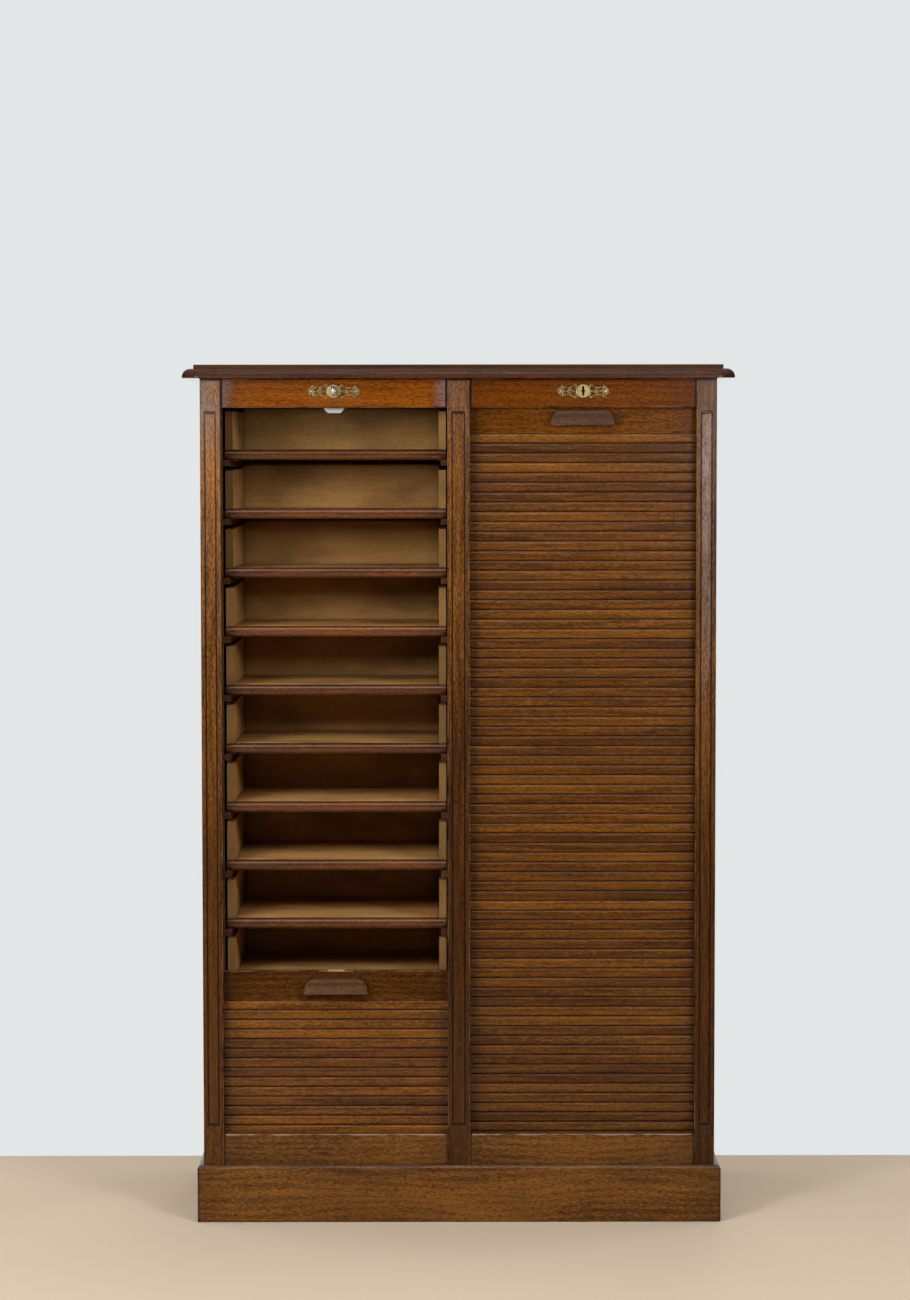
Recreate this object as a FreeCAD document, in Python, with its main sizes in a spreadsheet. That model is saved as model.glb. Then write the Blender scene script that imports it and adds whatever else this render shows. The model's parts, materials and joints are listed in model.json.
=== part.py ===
import FreeCAD, Part
import math
import os
import re

# Double tambour door filing cabinet: carcass, two roller shutters, locks and trays.
# The front faces -Y, +X is to the right, +Z is up, and the origin is the middle of the
# footprint on the floor. Lengths are millimetres.

# Driving lengths of the cabinet.
DRIVING = {
    "body_width": 990.0,
    "body_depth": 430.0,
    "stile_width": 39.0,
    "centre_stile_width": 42.6,
    "stile_depth": 24.0,
    "rail_setback": 2.0,
    "plinth_height": 110.0,
    "plinth_thickness": 12.0,
    "plinth_bevel": 5.0,
    "bottom_rail_height": 59.0,
    "bottom_rail_tuck": 30.0,
    "top_rail_height": 55.0,
    "moulding_thickness": 18.5,
    "moulding_overhang": 31.0,
    "moulding_nose": 16.0,
    "top_board_thickness": 8.0,
    "top_board_inset": 20.0,
    "panel_thickness": 18.0,
    "partition_thickness": 16.0,
    "back_thickness": 12.0,
    "back_board_gap": 1.0,
    "base_thickness": 10.0,
    "bay_back_thickness": 9.0,
    "rear_channel_depth": 17.0,
    "channel_depth": 16.5,
    "guide_depth": 23.5,
    "sunk_margin": 8.0,
    "sunk_groove": 2.8,
    "sunk_depth": 2.6,
    "sunk_field_drop": 0.5,
    "sunk_top_gap": 7.0,
    "sunk_top_stop": 6.0,
    "sunk_bottom_stop": 16.0,
    "slat_pitch": 18.85,
    "slat_gap": 0.4,
    "slat_depth": 12.0,
    "slat_round": 4.8,
    "slat_play": 0.3,
    "slat_hold": 10.0,
    "canvas_thickness": 0.8,
    "canvas_margin": 25.0,
    "turn_radius": 100.0,
    "track_floor_gap": 5.2,
    "turn_clearance": 2.0,
    "turn_play": 0.3,
    "lead_height": 58.5,
    "lead_depth": 14.0,
    "lead_tuck": 9.7,
    "lowered_dip": 6.0,
    "handle_width": 129.0,
    "handle_top_width": 113.0,
    "handle_height": 29.0,
    "handle_depth": 20.0,
    "handle_top_depth": 17.0,
    "handle_drop": 15.5,
    "handle_shoulder": 18.0,
    "handle_edge": 1.5,
    "grip_radius": 7.0,
    "grip_offset": 9.0,
    "strike_width": 66.0,
    "strike_thickness": 2.0,
    "strike_slot_width": 46.0,
    "strike_slot_depth": 8.0,
    "mortise_width": 60.0,
    "mortise_depth": 20.0,
    "lock_case_width": 80.0,
    "lock_case_height": 44.0,
    "lock_case_depth": 15.0,
    "lock_case_wall": 4.0,
    "bolt_width": 42.0,
    "bolt_tip_width": 25.0,
    "bolt_depth": 6.0,
    "bolt_reach": 10.0,
    "bolt_body_height": 24.0,
    "hook_notch_height": 4.0,
    "hook_notch_depth": 7.0,
    "keyhole_height": 31.0,
    "key_radius": 2.2,
    "key_play": 0.05,
    "key_slot_width": 3.2,
    "key_slot_reach": 9.0,
    "key_front": 8.0,
    "key_bow_radius": 8.0,
    "key_bow_wire": 2.0,
    "key_bit_width": 2.0,
    "key_bit_height": 9.0,
    "key_bit_depth": 5.0,
    "key_collar_radius": 3.8,
    "key_collar_length": 3.0,
    "escutcheon_width": 100.0,
    "escutcheon_height": 29.0,
    "escutcheon_thickness": 1.6,
    "escutcheon_boss_radius": 13.8,
    "escutcheon_boss_height": 2.4,
    "escutcheon_boss_round": 1.5,
    "escutcheon_keyhole_radius": 2.8,
    "pin_radius": 2.1,
    "pin_height": 0.8,
    "pin_inset": 6.9,
    "tray_pitch": 114.4,
    "tray_drop": 99.0,
    "tray_side_height": 100.5,
    "tray_front_height": 94.0,
    "tray_back_height": 107.0,
    "tray_side_thickness": 14.0,
    "tray_bottom_thickness": 9.5,
    "tray_bottom_rise": 10.0,
    "tray_back_thickness": 10.0,
    "tray_play": 3.0,
    "tray_rear_play": 2.0,
    "lip_height": 20.0,
    "lip_depth": 16.0,
    "lip_round": 7.0,
    "lip_setback": 42.0,
    "runner_width": 13.0,
    "runner_height": 12.0,
    "runner_setback": 28.0,
    "bay_floor_thickness": 10.0,
    "bay_floor_drop": 24.0,
}

TRAY_COUNT = 10
BACK_BOARD_COUNT = 8
VISIBLE_SLATS = 72
LOWERED_SLATS = 14
TAIL_SLATS = 2
STORED_SLATS = VISIBLE_SLATS - LOWERED_SLATS + TAIL_SLATS
QUARTER_TURN = 90.0
HALF_TURN = 180.0

# Half of the escutcheon's outline and its piercings, as shares of its half width and
# half height, from the nose inwards.
OUTLINE_SHARES = [
    (1.0, 0.0), (0.97, 0.36), (0.88, 0.55), (0.81, 0.88), (0.72, 0.62), (0.62, 0.52),
    (0.50, 0.58), (0.38, 0.78), (0.29, 0.98), (0.22, 0.72),
]
PIERCING_SHARES = [
    [(0.30, 0.76), (0.385, 0.60), (0.485, 0.42), (0.41, 0.09), (0.29, 0.09)],
    [(0.535, 0.40), (0.63, 0.35), (0.71, 0.42), (0.755, 0.52), (0.735, 0.09), (0.61, 0.09)],
]

# Levels worked out from the driving lengths, each from the ones before it.
LEVELS = {
    "half_width": "body_width / 2",
    "bay_width": "(body_width - 2 * stile_width - centre_stile_width) / 2",
    "bay_centre": "(centre_stile_width + bay_width) / 2",
    "half_total_depth": "(body_depth + moulding_overhang) / 2",
    "front_y": "moulding_overhang - half_total_depth",
    "back_y": "half_total_depth",
    "stile_back_y": "front_y + stile_depth",
    "guide_front_y": "stile_back_y + channel_depth",
    "guide_back_y": "guide_front_y + guide_depth",
    "slat_front_y": "stile_back_y + slat_play",
    "slat_back_y": "slat_front_y + slat_depth",
    "canvas_back_y": "slat_back_y + canvas_thickness",
    "lip_front_y": "stile_back_y + lip_setback",
    "lip_back_y": "lip_front_y + lip_depth",
    "runner_front_y": "stile_back_y + runner_setback",
    "board_front_y": "back_y - back_thickness",
    "bay_back_rear_y": "board_front_y - rear_channel_depth",
    "bay_back_front_y": "bay_back_rear_y - bay_back_thickness",
    "tray_back_y": "bay_back_front_y - tray_rear_play",
    "seat_radius": "turn_radius + canvas_thickness",
    "turn_height": "base_thickness + track_floor_gap + slat_depth + seat_radius",
    "front_turn_y": "canvas_back_y + turn_radius",
    "rear_slat_back_y": "board_front_y - slat_play - turn_play - slat_depth",
    "rear_turn_y": "rear_slat_back_y - seat_radius",
    "guide_radius": "turn_radius - turn_clearance",
    "rail_top_z": "plinth_height + bottom_rail_height",
    "closed_lead_z": f"rail_top_z + {VISIBLE_SLATS} * slat_pitch",
    "stored_top_z": "rail_top_z - lowered_dip",
    "lowered_lead_z": f"stored_top_z + {LOWERED_SLATS} * slat_pitch",
    "tail_z": f"rail_top_z - {TAIL_SLATS} * slat_pitch",
    "opening_top_z": "closed_lead_z + lead_height - lead_tuck",
    "body_top_z": "opening_top_z + top_rail_height",
    "moulding_top_z": "body_top_z + moulding_thickness",
    "first_tray_z": "opening_top_z - tray_drop",
    "bay_floor_z": f"first_tray_z - {TRAY_COUNT - 1} * tray_pitch - bay_floor_drop - bay_floor_thickness",
    "tray_width": "bay_width - 2 * tray_play",
    "slat_length": "bay_width + 2 * slat_hold",
    "slat_height": "slat_pitch - slat_gap",
    "canvas_width": "bay_width - 2 * canvas_margin",
    "side_guide_width": "stile_width - panel_thickness",
    "centre_guide_width": "(centre_stile_width - partition_thickness) / 2",
    "rail_face_y": "front_y + rail_setback",
    "rail_depth": "stile_depth - rail_setback",
    "bolt_front_y": "slat_front_y + (lead_depth - bolt_depth) / 2",
    "key_z": "opening_top_z + keyhole_height",
    "plate_face_y": "rail_face_y - escutcheon_thickness",
    "boss_face_y": "plate_face_y - escutcheon_boss_height",
    "case_bottom_z": "body_top_z - lock_case_height",
}

doc = FreeCAD.newDocument("tambour_door_cabinet")
sizes = doc.addObject("Spreadsheet::Sheet", "sizes")
levels = doc.addObject("Spreadsheet::Sheet", "levels")
nodes = {}


def bind(text):
    """Return a formula in which every length is looked up in its sheet."""

    def lookup(match):
        word = match.group()
        return ("sizes." if word in DRIVING else "levels.") + word

    return re.sub(r"[a-z][a-z_]*", lookup, text)


def fill_sheets():
    """Write the driving lengths as plain numbers and the levels as formulas."""
    for row, (alias, length) in enumerate(DRIVING.items(), start=1):
        sizes.set(f"A{row}", alias)
        sizes.set(f"B{row}", str(length))
        sizes.setAlias(f"B{row}", alias)
    doc.recompute()
    for row, (alias, text) in enumerate(LEVELS.items(), start=1):
        levels.set(f"A{row}", alias)
        levels.set(f"B{row}", "=" + bind(text))
        levels.setAlias(f"B{row}", alias)
        doc.recompute()


def length_of(alias):
    """Return the present value of a driving length or a level."""
    sheet = sizes if alias in DRIVING else levels
    return float(sheet.get(alias))


def put(item, corner):
    """Place an object by three formulas."""
    for axis, text in zip("xyz", corner):
        item.setExpression("Placement.Base." + axis, bind(text))
    return item


def sized(kind, name, measures, corner):
    """Add a primitive with its measures and place bound to the sheets."""
    item = doc.addObject(kind, name)
    for measure, text in measures.items():
        item.setExpression(measure, bind(text))
    return put(item, corner)


def block(name, size, corner):
    """Add a box from its size and its low corner."""
    return sized("Part::Box", name, dict(zip(("Length", "Width", "Height"), size)), corner)


def rod(name, radius, length, corner, turn):
    """Add a round bar that starts at a point and runs along the turned axis."""
    item = sized("Part::Cylinder", name, {"Radius": radius, "Height": length}, corner)
    item.Placement.Rotation = turn
    return item


def quarter(name, radius, length, corner, start):
    """Add a quarter of a disc across the bay, from an angle in the side view."""
    item = sized("Part::Cylinder", name, {"Radius": radius, "Height": length}, corner)
    item.Angle = QUARTER_TURN
    across = FreeCAD.Rotation(FreeCAD.Vector(0, 1, 0), QUARTER_TURN)
    item.Placement.Rotation = FreeCAD.Rotation(FreeCAD.Vector(1, 0, 0), start).multiply(across)
    return item


def cut(name, base, tool):
    """Take one object away from another."""
    item = doc.addObject("Part::Cut", name)
    item.Base = base
    item.Tool = tool
    return item


def fuse(name, members):
    """Join objects into one solid."""
    item = doc.addObject("Part::MultiFuse", name)
    item.Shapes = members
    item.Refine = True
    return item


def group(name, members):
    """Hold separate solids together as one sub-part."""
    item = doc.addObject("Part::Compound", name)
    item.Links = members
    return item


def node(label, item):
    """Register an object as the sub-part with this label."""
    item.Label = label
    nodes[label] = item
    return item


def body_block(name, size, corner):
    """Start a body with a box in it; return the body and the box."""
    body = doc.addObject("PartDesign::Body", name)
    box = body.newObject("PartDesign::AdditiveBox", name + "_box")
    for measure, text in zip(("Length", "Width", "Height"), size):
        box.setExpression(measure, bind(text))
    put(box, corner)
    doc.recompute()
    return body, box


def dress(body, kind, base, measure, text, wanted):
    """Round or bevel the edges of a body's last feature that pass a test."""
    names = [f"Edge{i}" for i, edge in enumerate(base.Shape.Edges, start=1) if wanted(edge.BoundBox)]
    item = body.newObject(kind, body.Name + "_" + measure)
    item.Base = (base, names)
    item.setExpression(measure, bind(text))
    doc.recompute()
    return item


def same(first, second):
    """Tell whether two lengths are the same within a hair."""
    return math.isclose(first, second, abs_tol=length_of("key_play"))


def top_front_and_ends(box):
    """Return a test for the top edges of a box at its front and its two ends."""
    whole = box.Shape.BoundBox

    def wanted(edge):
        on_top = same(edge.ZMin, whole.ZMax)
        front = same(edge.YMax, whole.YMin)
        end = same(edge.XMax, whole.XMin) or same(edge.XMin, whole.XMax)
        return on_top and (front or end)

    return wanted


def bay_x(side, offset):
    """Return the formula of an x at an offset from a bay's centre."""
    return f"{side} * bay_centre + {offset}"


def add_plinth():
    """Plinth: a front board across two returns, each bevelled along the top."""
    front, box = body_block(
        "plinth_front",
        ("body_width + 2 * plinth_thickness", "plinth_thickness", "plinth_height"),
        ("0 - half_width - plinth_thickness", "front_y - plinth_thickness", "0"),
    )
    dress(front, "PartDesign::Chamfer", box, "Size", "plinth_bevel", top_front_and_ends(box))
    node("plinth_front", front)
    returns = []
    for name, x, outer in (
        ("return_left", "0 - half_width - plinth_thickness", "XMin"),
        ("return_right", "half_width", "XMax"),
    ):
        body, box = body_block(
            name,
            ("plinth_thickness", "body_depth", "plinth_height"),
            (x, "front_y", "0"),
        )
        whole = box.Shape.BoundBox
        side = getattr(whole, outer)

        def wanted(edge, top=whole.ZMax, side=side):
            along_side = same(edge.XMin, side) and same(edge.XMax, side)
            return same(edge.ZMin, top) and along_side

        dress(body, "PartDesign::Chamfer", box, "Size", "plinth_bevel", wanted)
        returns.append(body)
    node("plinth_returns", group("plinth_returns", returns))


def stile(name, width, x):
    """An upright with a stopped sunk frame round a slightly lowered field."""
    full = block(name + "_bar", (width, "stile_depth", "body_top_z"), (x, "front_y", "0"))
    top = "opening_top_z - sunk_top_gap"
    bottom = "rail_top_z + sunk_bottom_stop"
    sunk_width = f"{width} - 2 * sunk_margin"
    sunk = block(
        name + "_sunk",
        (sunk_width, "sunk_depth", f"{top} - ({bottom})"),
        (f"{x} + sunk_margin", "front_y", bottom),
    )
    field = block(
        name + "_field",
        (
            f"{sunk_width} - 2 * sunk_groove",
            "sunk_depth - sunk_field_drop",
            f"{top} - ({bottom}) - 2 * sunk_top_stop",
        ),
        (f"{x} + sunk_margin + sunk_groove", "front_y + sunk_field_drop", f"{bottom} + sunk_top_stop"),
    )
    node(name, fuse(name, [cut(name + "_frame", full, sunk), field]))


def add_carcass():
    """Panels, stiles, rails, top, back and the boards inside the bays."""
    stile("stile_left", "stile_width", "0 - half_width")
    stile("stile_right", "stile_width", "half_width - stile_width")
    stile("stile_centre", "centre_stile_width", "0 - centre_stile_width / 2")
    panel = ("panel_thickness", "body_depth - stile_depth", "body_top_z")
    node("side_left", block("side_left", panel, ("0 - half_width", "stile_back_y", "0")))
    node("side_right", block("side_right", panel, ("half_width - panel_thickness", "stile_back_y", "0")))
    inner_width = "body_width - 2 * panel_thickness"
    inner_x = "panel_thickness - half_width"
    node("base_board", block(
        "base_board",
        (inner_width, "board_front_y - stile_back_y", "base_thickness"),
        (inner_x, "stile_back_y", "0"),
    ))
    node("partition", block(
        "partition",
        ("partition_thickness", "board_front_y - stile_back_y", "body_top_z - base_thickness"),
        ("0 - partition_thickness / 2", "stile_back_y", "base_thickness"),
    ))
    board_width = f"({inner_width} - {BACK_BOARD_COUNT - 1} * back_board_gap) / {BACK_BOARD_COUNT}"
    boards = []
    for i in range(BACK_BOARD_COUNT):
        boards.append(block(
            f"back_board_{i + 1}",
            (board_width, "back_thickness", "body_top_z"),
            (f"{inner_x} + {i} * ({board_width} + back_board_gap)", "board_front_y", "0"),
        ))
    node("back_boards", group("back_boards", boards))
    half_bay = "half_width - panel_thickness - partition_thickness / 2"
    bay_starts = (inner_x, "partition_thickness / 2")
    floors = []
    backs = []
    for i, x in enumerate(bay_starts, start=1):
        floors.append(block(
            f"bay_floor_{i}",
            (half_bay, "bay_back_front_y - guide_back_y", "bay_floor_thickness"),
            (x, "guide_back_y", "bay_floor_z"),
        ))
        backs.append(block(
            f"bay_back_{i}",
            (half_bay, "bay_back_thickness", "body_top_z - turn_height"),
            (x, "bay_back_front_y", "turn_height"),
        ))
    node("bay_floors", group("bay_floors", floors))
    node("bay_backs", group("bay_backs", backs))
    moulding, box = body_block(
        "top_moulding",
        ("body_width + 2 * moulding_overhang", "2 * half_total_depth", "moulding_thickness"),
        ("0 - half_width - moulding_overhang", "0 - half_total_depth", "body_top_z"),
    )
    dress(moulding, "PartDesign::Fillet", box, "Radius", "moulding_nose", top_front_and_ends(box))
    node("top_moulding", moulding)
    node("top_board", block(
        "top_board",
        (
            "body_width + 2 * moulding_overhang - 2 * top_board_inset",
            "2 * half_total_depth - top_board_inset",
            "top_board_thickness",
        ),
        (
            "top_board_inset - half_width - moulding_overhang",
            "top_board_inset - half_total_depth",
            "moulding_top_z",
        ),
    ))


def add_rails(name, side):
    """Top rail with its keyhole, and bottom rail, of one bay."""
    low_x = bay_x(side, "0 - bay_width / 2")
    top = block(
        "top_rail_bar_" + name,
        ("bay_width", "rail_depth", "top_rail_height"),
        (low_x, "rail_face_y", "opening_top_z"),
    )
    along = FreeCAD.Rotation(FreeCAD.Vector(1, 0, 0), -QUARTER_TURN)
    eye = rod(
        "key_eye_" + name,
        "key_radius + key_play",
        "rail_depth",
        (bay_x(side, "0"), "rail_face_y", "key_z"),
        along,
    )
    slot = block(
        "key_slot_" + name,
        ("key_slot_width", "rail_depth", "2 * key_slot_reach"),
        (bay_x(side, "0 - key_slot_width / 2"), "rail_face_y", "key_z - key_slot_reach"),
    )
    hole = fuse("key_way_" + name, [eye, slot])
    node("top_rail_" + name, cut("top_rail_" + name, top, hole))
    node("bottom_rail_" + name, block(
        "bottom_rail_" + name,
        ("bay_width", "rail_depth", "bottom_rail_height + bottom_rail_tuck"),
        (low_x, "rail_face_y", "plinth_height - bottom_rail_tuck"),
    ))


def add_guides():
    """Upright battens behind the shutter grooves, each standing on a turn block."""
    places = (
        ("1", "side_guide_width", "panel_thickness - half_width"),
        ("2", "centre_guide_width", "0 - centre_stile_width / 2"),
        ("3", "centre_guide_width", "partition_thickness / 2"),
        ("4", "side_guide_width", "half_width - stile_width"),
    )
    members = []
    for name, width, x in places:
        members.append(block(
            "batten_" + name,
            (width, "guide_depth", "body_top_z - turn_height"),
            (x, "guide_front_y", "turn_height"),
        ))
        front = quarter(
            "front_turn_" + name, "guide_radius", width, (x, "front_turn_y", "turn_height"), -QUARTER_TURN,
        )
        rear = quarter(
            "rear_turn_" + name, "guide_radius", width, (x, "rear_turn_y", "turn_height"), 0,
        )
        middle = block(
            "turn_bar_" + name,
            (width, "rear_turn_y - front_turn_y", "guide_radius"),
            (x, "front_turn_y", "turn_height - guide_radius"),
        )
        members.append(fuse("turn_block_" + name, [front, middle, rear]))
    node("shutter_guides", group("shutter_guides", members))


def add_runners():
    """Square battens on the guides, two under every tray."""
    members = []
    for name, side in (("left", -1), ("right", 1)):
        for i in range(TRAY_COUNT):
            level = f"first_tray_z - {i} * tray_pitch - runner_height"
            for end, offset in (("a", "0 - bay_width / 2"), ("b", "bay_width / 2 - runner_width")):
                members.append(block(
                    f"runner_{name}_{i + 1}{end}",
                    ("runner_width", "bay_back_front_y - runner_front_y", "runner_height"),
                    (bay_x(side, offset), "runner_front_y", level),
                ))
    node("tray_runners", group("tray_runners", members))


def slab(name, profile, width, corner):
    """Run a side view profile across the bay as a solid."""
    item = doc.addObject("Part::Extrusion", name)
    item.Base = profile
    item.Dir = FreeCAD.Vector(1, 0, 0)
    item.DirMode = "Custom"
    item.Solid = True
    item.setExpression("LengthFwd", bind(width))
    return put(item, corner)


def add_tray(name, side, index, lip, wall):
    """One tray: bottom, two tapered sides and back as boards, with the rounded lip in front."""
    label = f"tray_{name}_{index + 1:02d}"
    level = f"first_tray_z - {index} * tray_pitch"
    low_x = bay_x(side, "0 - tray_width / 2")
    high_x = bay_x(side, "tray_width / 2 - tray_side_thickness")
    inner = "tray_width - 2 * tray_side_thickness"
    inner_x = bay_x(side, "tray_side_thickness - tray_width / 2")
    floor_rise = "tray_bottom_rise + tray_bottom_thickness"
    members = [
        block(
            label + "_bottom",
            (inner, "tray_back_y - lip_back_y", "tray_bottom_thickness"),
            (inner_x, "lip_back_y", f"{level} + tray_bottom_rise"),
        ),
        slab(label + "_side_a", wall, "tray_side_thickness", (low_x, "lip_back_y", level)),
        slab(label + "_side_b", wall, "tray_side_thickness", (high_x, "lip_back_y", level)),
        block(
            label + "_back",
            (inner, "tray_back_thickness", f"tray_back_height - ({floor_rise})"),
            (inner_x, "tray_back_y - tray_back_thickness", f"{level} + {floor_rise}"),
        ),
        slab(label + "_lip", lip, "tray_width", (low_x, "lip_front_y", level)),
    ]
    node(label, group(label, members))


def tray_wall_profile():
    """Side view of a tray side: level underneath, falling towards the front on top."""
    length = length_of("tray_back_y") - length_of("lip_back_y")
    corners = [
        FreeCAD.Vector(0, 0, 0),
        FreeCAD.Vector(0, length, 0),
        FreeCAD.Vector(0, length, length_of("tray_side_height")),
        FreeCAD.Vector(0, 0, length_of("tray_front_height")),
    ]
    profile = doc.addObject("Part::Feature", "tray_wall_profile")
    profile.Shape = Part.makePolygon(corners + corners[:1])
    return profile


def lip_profile():
    """Side view of a tray lip: flat back, front rounded at top and bottom."""
    depth = length_of("lip_depth")
    height = length_of("lip_height")
    radius = length_of("lip_round")
    slant = radius * (1 - math.sqrt(0.5))
    corners = {
        "low_back": (depth, 0),
        "low_start": (radius, 0),
        "low_mid": (slant, slant),
        "low_end": (0, radius),
        "high_start": (0, height - radius),
        "high_mid": (slant, height - slant),
        "high_end": (radius, height),
        "high_back": (depth, height),
    }
    at = {key: FreeCAD.Vector(0, y, z) for key, (y, z) in corners.items()}
    edges = [
        Part.LineSegment(at["low_back"], at["low_start"]).toShape(),
        Part.Arc(at["low_start"], at["low_mid"], at["low_end"]).toShape(),
        Part.LineSegment(at["low_end"], at["high_start"]).toShape(),
        Part.Arc(at["high_start"], at["high_mid"], at["high_end"]).toShape(),
        Part.LineSegment(at["high_end"], at["high_back"]).toShape(),
        Part.LineSegment(at["high_back"], at["low_back"]).toShape(),
    ]
    profile = doc.addObject("Part::Feature", "lip_profile")
    profile.Shape = Part.Wire(edges)
    return profile


def slat_master():
    """One slat lying across the bay: flat back at y 0, front edges rounded, centred in height."""
    body, box = body_block(
        "slat_master",
        ("slat_length", "slat_depth", "slat_height"),
        ("0 - slat_length / 2", "0 - slat_depth", "0 - slat_height / 2"),
    )
    front = box.Shape.BoundBox.YMin

    def long_front(edge):
        return same(edge.YMax, front) and same(edge.ZMin, edge.ZMax)

    dress(body, "PartDesign::Fillet", box, "Radius", "slat_round", long_front)
    return body


def slat_run(label, slat, side, places):
    """Copies of the slat at places given as (y, z, turn) in the side view."""
    copies = []
    for y, z, turn in places:
        copy = slat.Shape.copy()
        middle = FreeCAD.Vector(side * length_of("bay_centre"), y, z)
        copy.Placement = FreeCAD.Placement(middle, FreeCAD.Rotation(FreeCAD.Vector(1, 0, 0), turn))
        copies.append(copy)
    run = doc.addObject("Part::Feature", label)
    run.Shape = Part.makeCompound(copies)
    node(label, run)


def front_places(first_top, count):
    """Places of slats that hang in the front groove below a level."""
    pitch = length_of("slat_pitch")
    y = length_of("slat_back_y")
    return [(y, first_top - (i + 0.5) * pitch, 0) for i in range(count)]


def stored_places(count):
    """Places of slats on the track: down the front, round the base and up the back."""
    pitch = length_of("slat_pitch")
    radius = length_of("seat_radius")
    reach = radius + length_of("turn_play")
    turn_z = length_of("turn_height")
    front_turn_y = length_of("front_turn_y")
    rear_turn_y = length_of("rear_turn_y")
    drop = length_of("stored_top_z") - turn_z
    arc = radius * math.pi / 2
    flat = rear_turn_y - front_turn_y
    places = []
    for i in range(count):
        way = (i + 0.5) * pitch
        if way < drop:
            places.append((length_of("slat_back_y"), turn_z + drop - way, 0))
            continue
        way -= drop
        if way < arc:
            angle = way / radius
            spot = (front_turn_y - reach * math.cos(angle), turn_z - reach * math.sin(angle))
            places.append((*spot, math.degrees(angle)))
            continue
        way -= arc
        if way < flat:
            places.append((front_turn_y + way, turn_z - radius, QUARTER_TURN))
            continue
        way -= flat
        if way < arc:
            angle = way / radius
            spot = (rear_turn_y + reach * math.sin(angle), turn_z - reach * math.cos(angle))
            places.append((*spot, QUARTER_TURN + math.degrees(angle)))
            continue
        places.append((rear_turn_y + radius, turn_z + way - arc, HALF_TURN))
    return places


def add_lead(name, side, level):
    """Lead rail of a shutter with its mortise, strike plate and pull."""
    top = f"{level} + lead_height"
    bar = block(
        "lead_bar_" + name,
        ("slat_length", "lead_depth", "lead_height"),
        (bay_x(side, "0 - slat_length / 2"), "slat_front_y", level),
    )
    seat = block(
        "strike_seat_" + name,
        ("strike_width", "lead_depth", "strike_thickness"),
        (bay_x(side, "0 - strike_width / 2"), "slat_front_y", f"{top} - strike_thickness"),
    )
    slot_y = "slat_front_y + (lead_depth - strike_slot_depth) / 2"
    mortise = block(
        "mortise_" + name,
        ("mortise_width", "strike_slot_depth", "mortise_depth"),
        (bay_x(side, "0 - mortise_width / 2"), slot_y, f"{top} - mortise_depth"),
    )
    hollow = fuse("lead_hollow_" + name, [seat, mortise])
    node("lead_rail_" + name, cut("lead_rail_" + name, bar, hollow))
    plate = block(
        "strike_plate_" + name,
        ("strike_width", "lead_depth", "strike_thickness"),
        (bay_x(side, "0 - strike_width / 2"), "slat_front_y", f"{top} - strike_thickness"),
    )
    slot = block(
        "strike_slot_" + name,
        ("strike_slot_width", "strike_slot_depth", "strike_thickness"),
        (bay_x(side, "0 - strike_slot_width / 2"), slot_y, f"{top} - strike_thickness"),
    )
    node("strike_" + name, cut("strike_" + name, plate, slot))
    add_handle(name, side, top)


def add_handle(name, side, top):
    """Carved pull: a block with round shoulders and a finger groove underneath."""
    body = doc.addObject("PartDesign::Body", "handle_" + name)
    wedge = body.newObject("PartDesign::AdditiveWedge", "handle_block_" + name)
    measures = {
        "Xmin": "0 - handle_width / 2",
        "Xmax": "handle_width / 2",
        "Ymin": "0",
        "Ymax": "handle_height",
        "Zmin": "0",
        "Zmax": "handle_depth",
        "X2min": "0 - handle_top_width / 2",
        "X2max": "handle_top_width / 2",
        "Z2min": "0",
        "Z2max": "handle_top_depth",
    }
    for measure, text in measures.items():
        wedge.setExpression(measure, bind(text))
    put(wedge, (bay_x(side, "0"), "slat_front_y", f"{top} - handle_drop - handle_height"))
    wedge.Placement.Rotation = FreeCAD.Rotation(FreeCAD.Vector(1, 0, 0), QUARTER_TURN)
    doc.recompute()
    whole = wedge.Shape.BoundBox

    def shoulder(edge):
        return same(edge.ZMin, whole.ZMax) and same(edge.XMin, edge.XMax)

    rounded = dress(body, "PartDesign::Fillet", wedge, "Radius", "handle_shoulder", shoulder)

    front_limit = whole.YMin + length_of("handle_depth") - length_of("handle_top_depth")

    def front_edge(edge):
        return edge.YMax < front_limit or same(edge.YMax, front_limit)

    dress(body, "PartDesign::Chamfer", rounded, "Size", "handle_edge", front_edge)
    grip = rod(
        "grip_" + name,
        "grip_radius",
        "2 * handle_width",
        (bay_x(side, "0 - handle_width"), "slat_front_y - grip_offset", f"{top} - handle_drop - handle_height"),
        FreeCAD.Rotation(FreeCAD.Vector(0, 1, 0), QUARTER_TURN),
    )
    node("handle_" + name, cut("handle_cut_" + name, body, grip))


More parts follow.
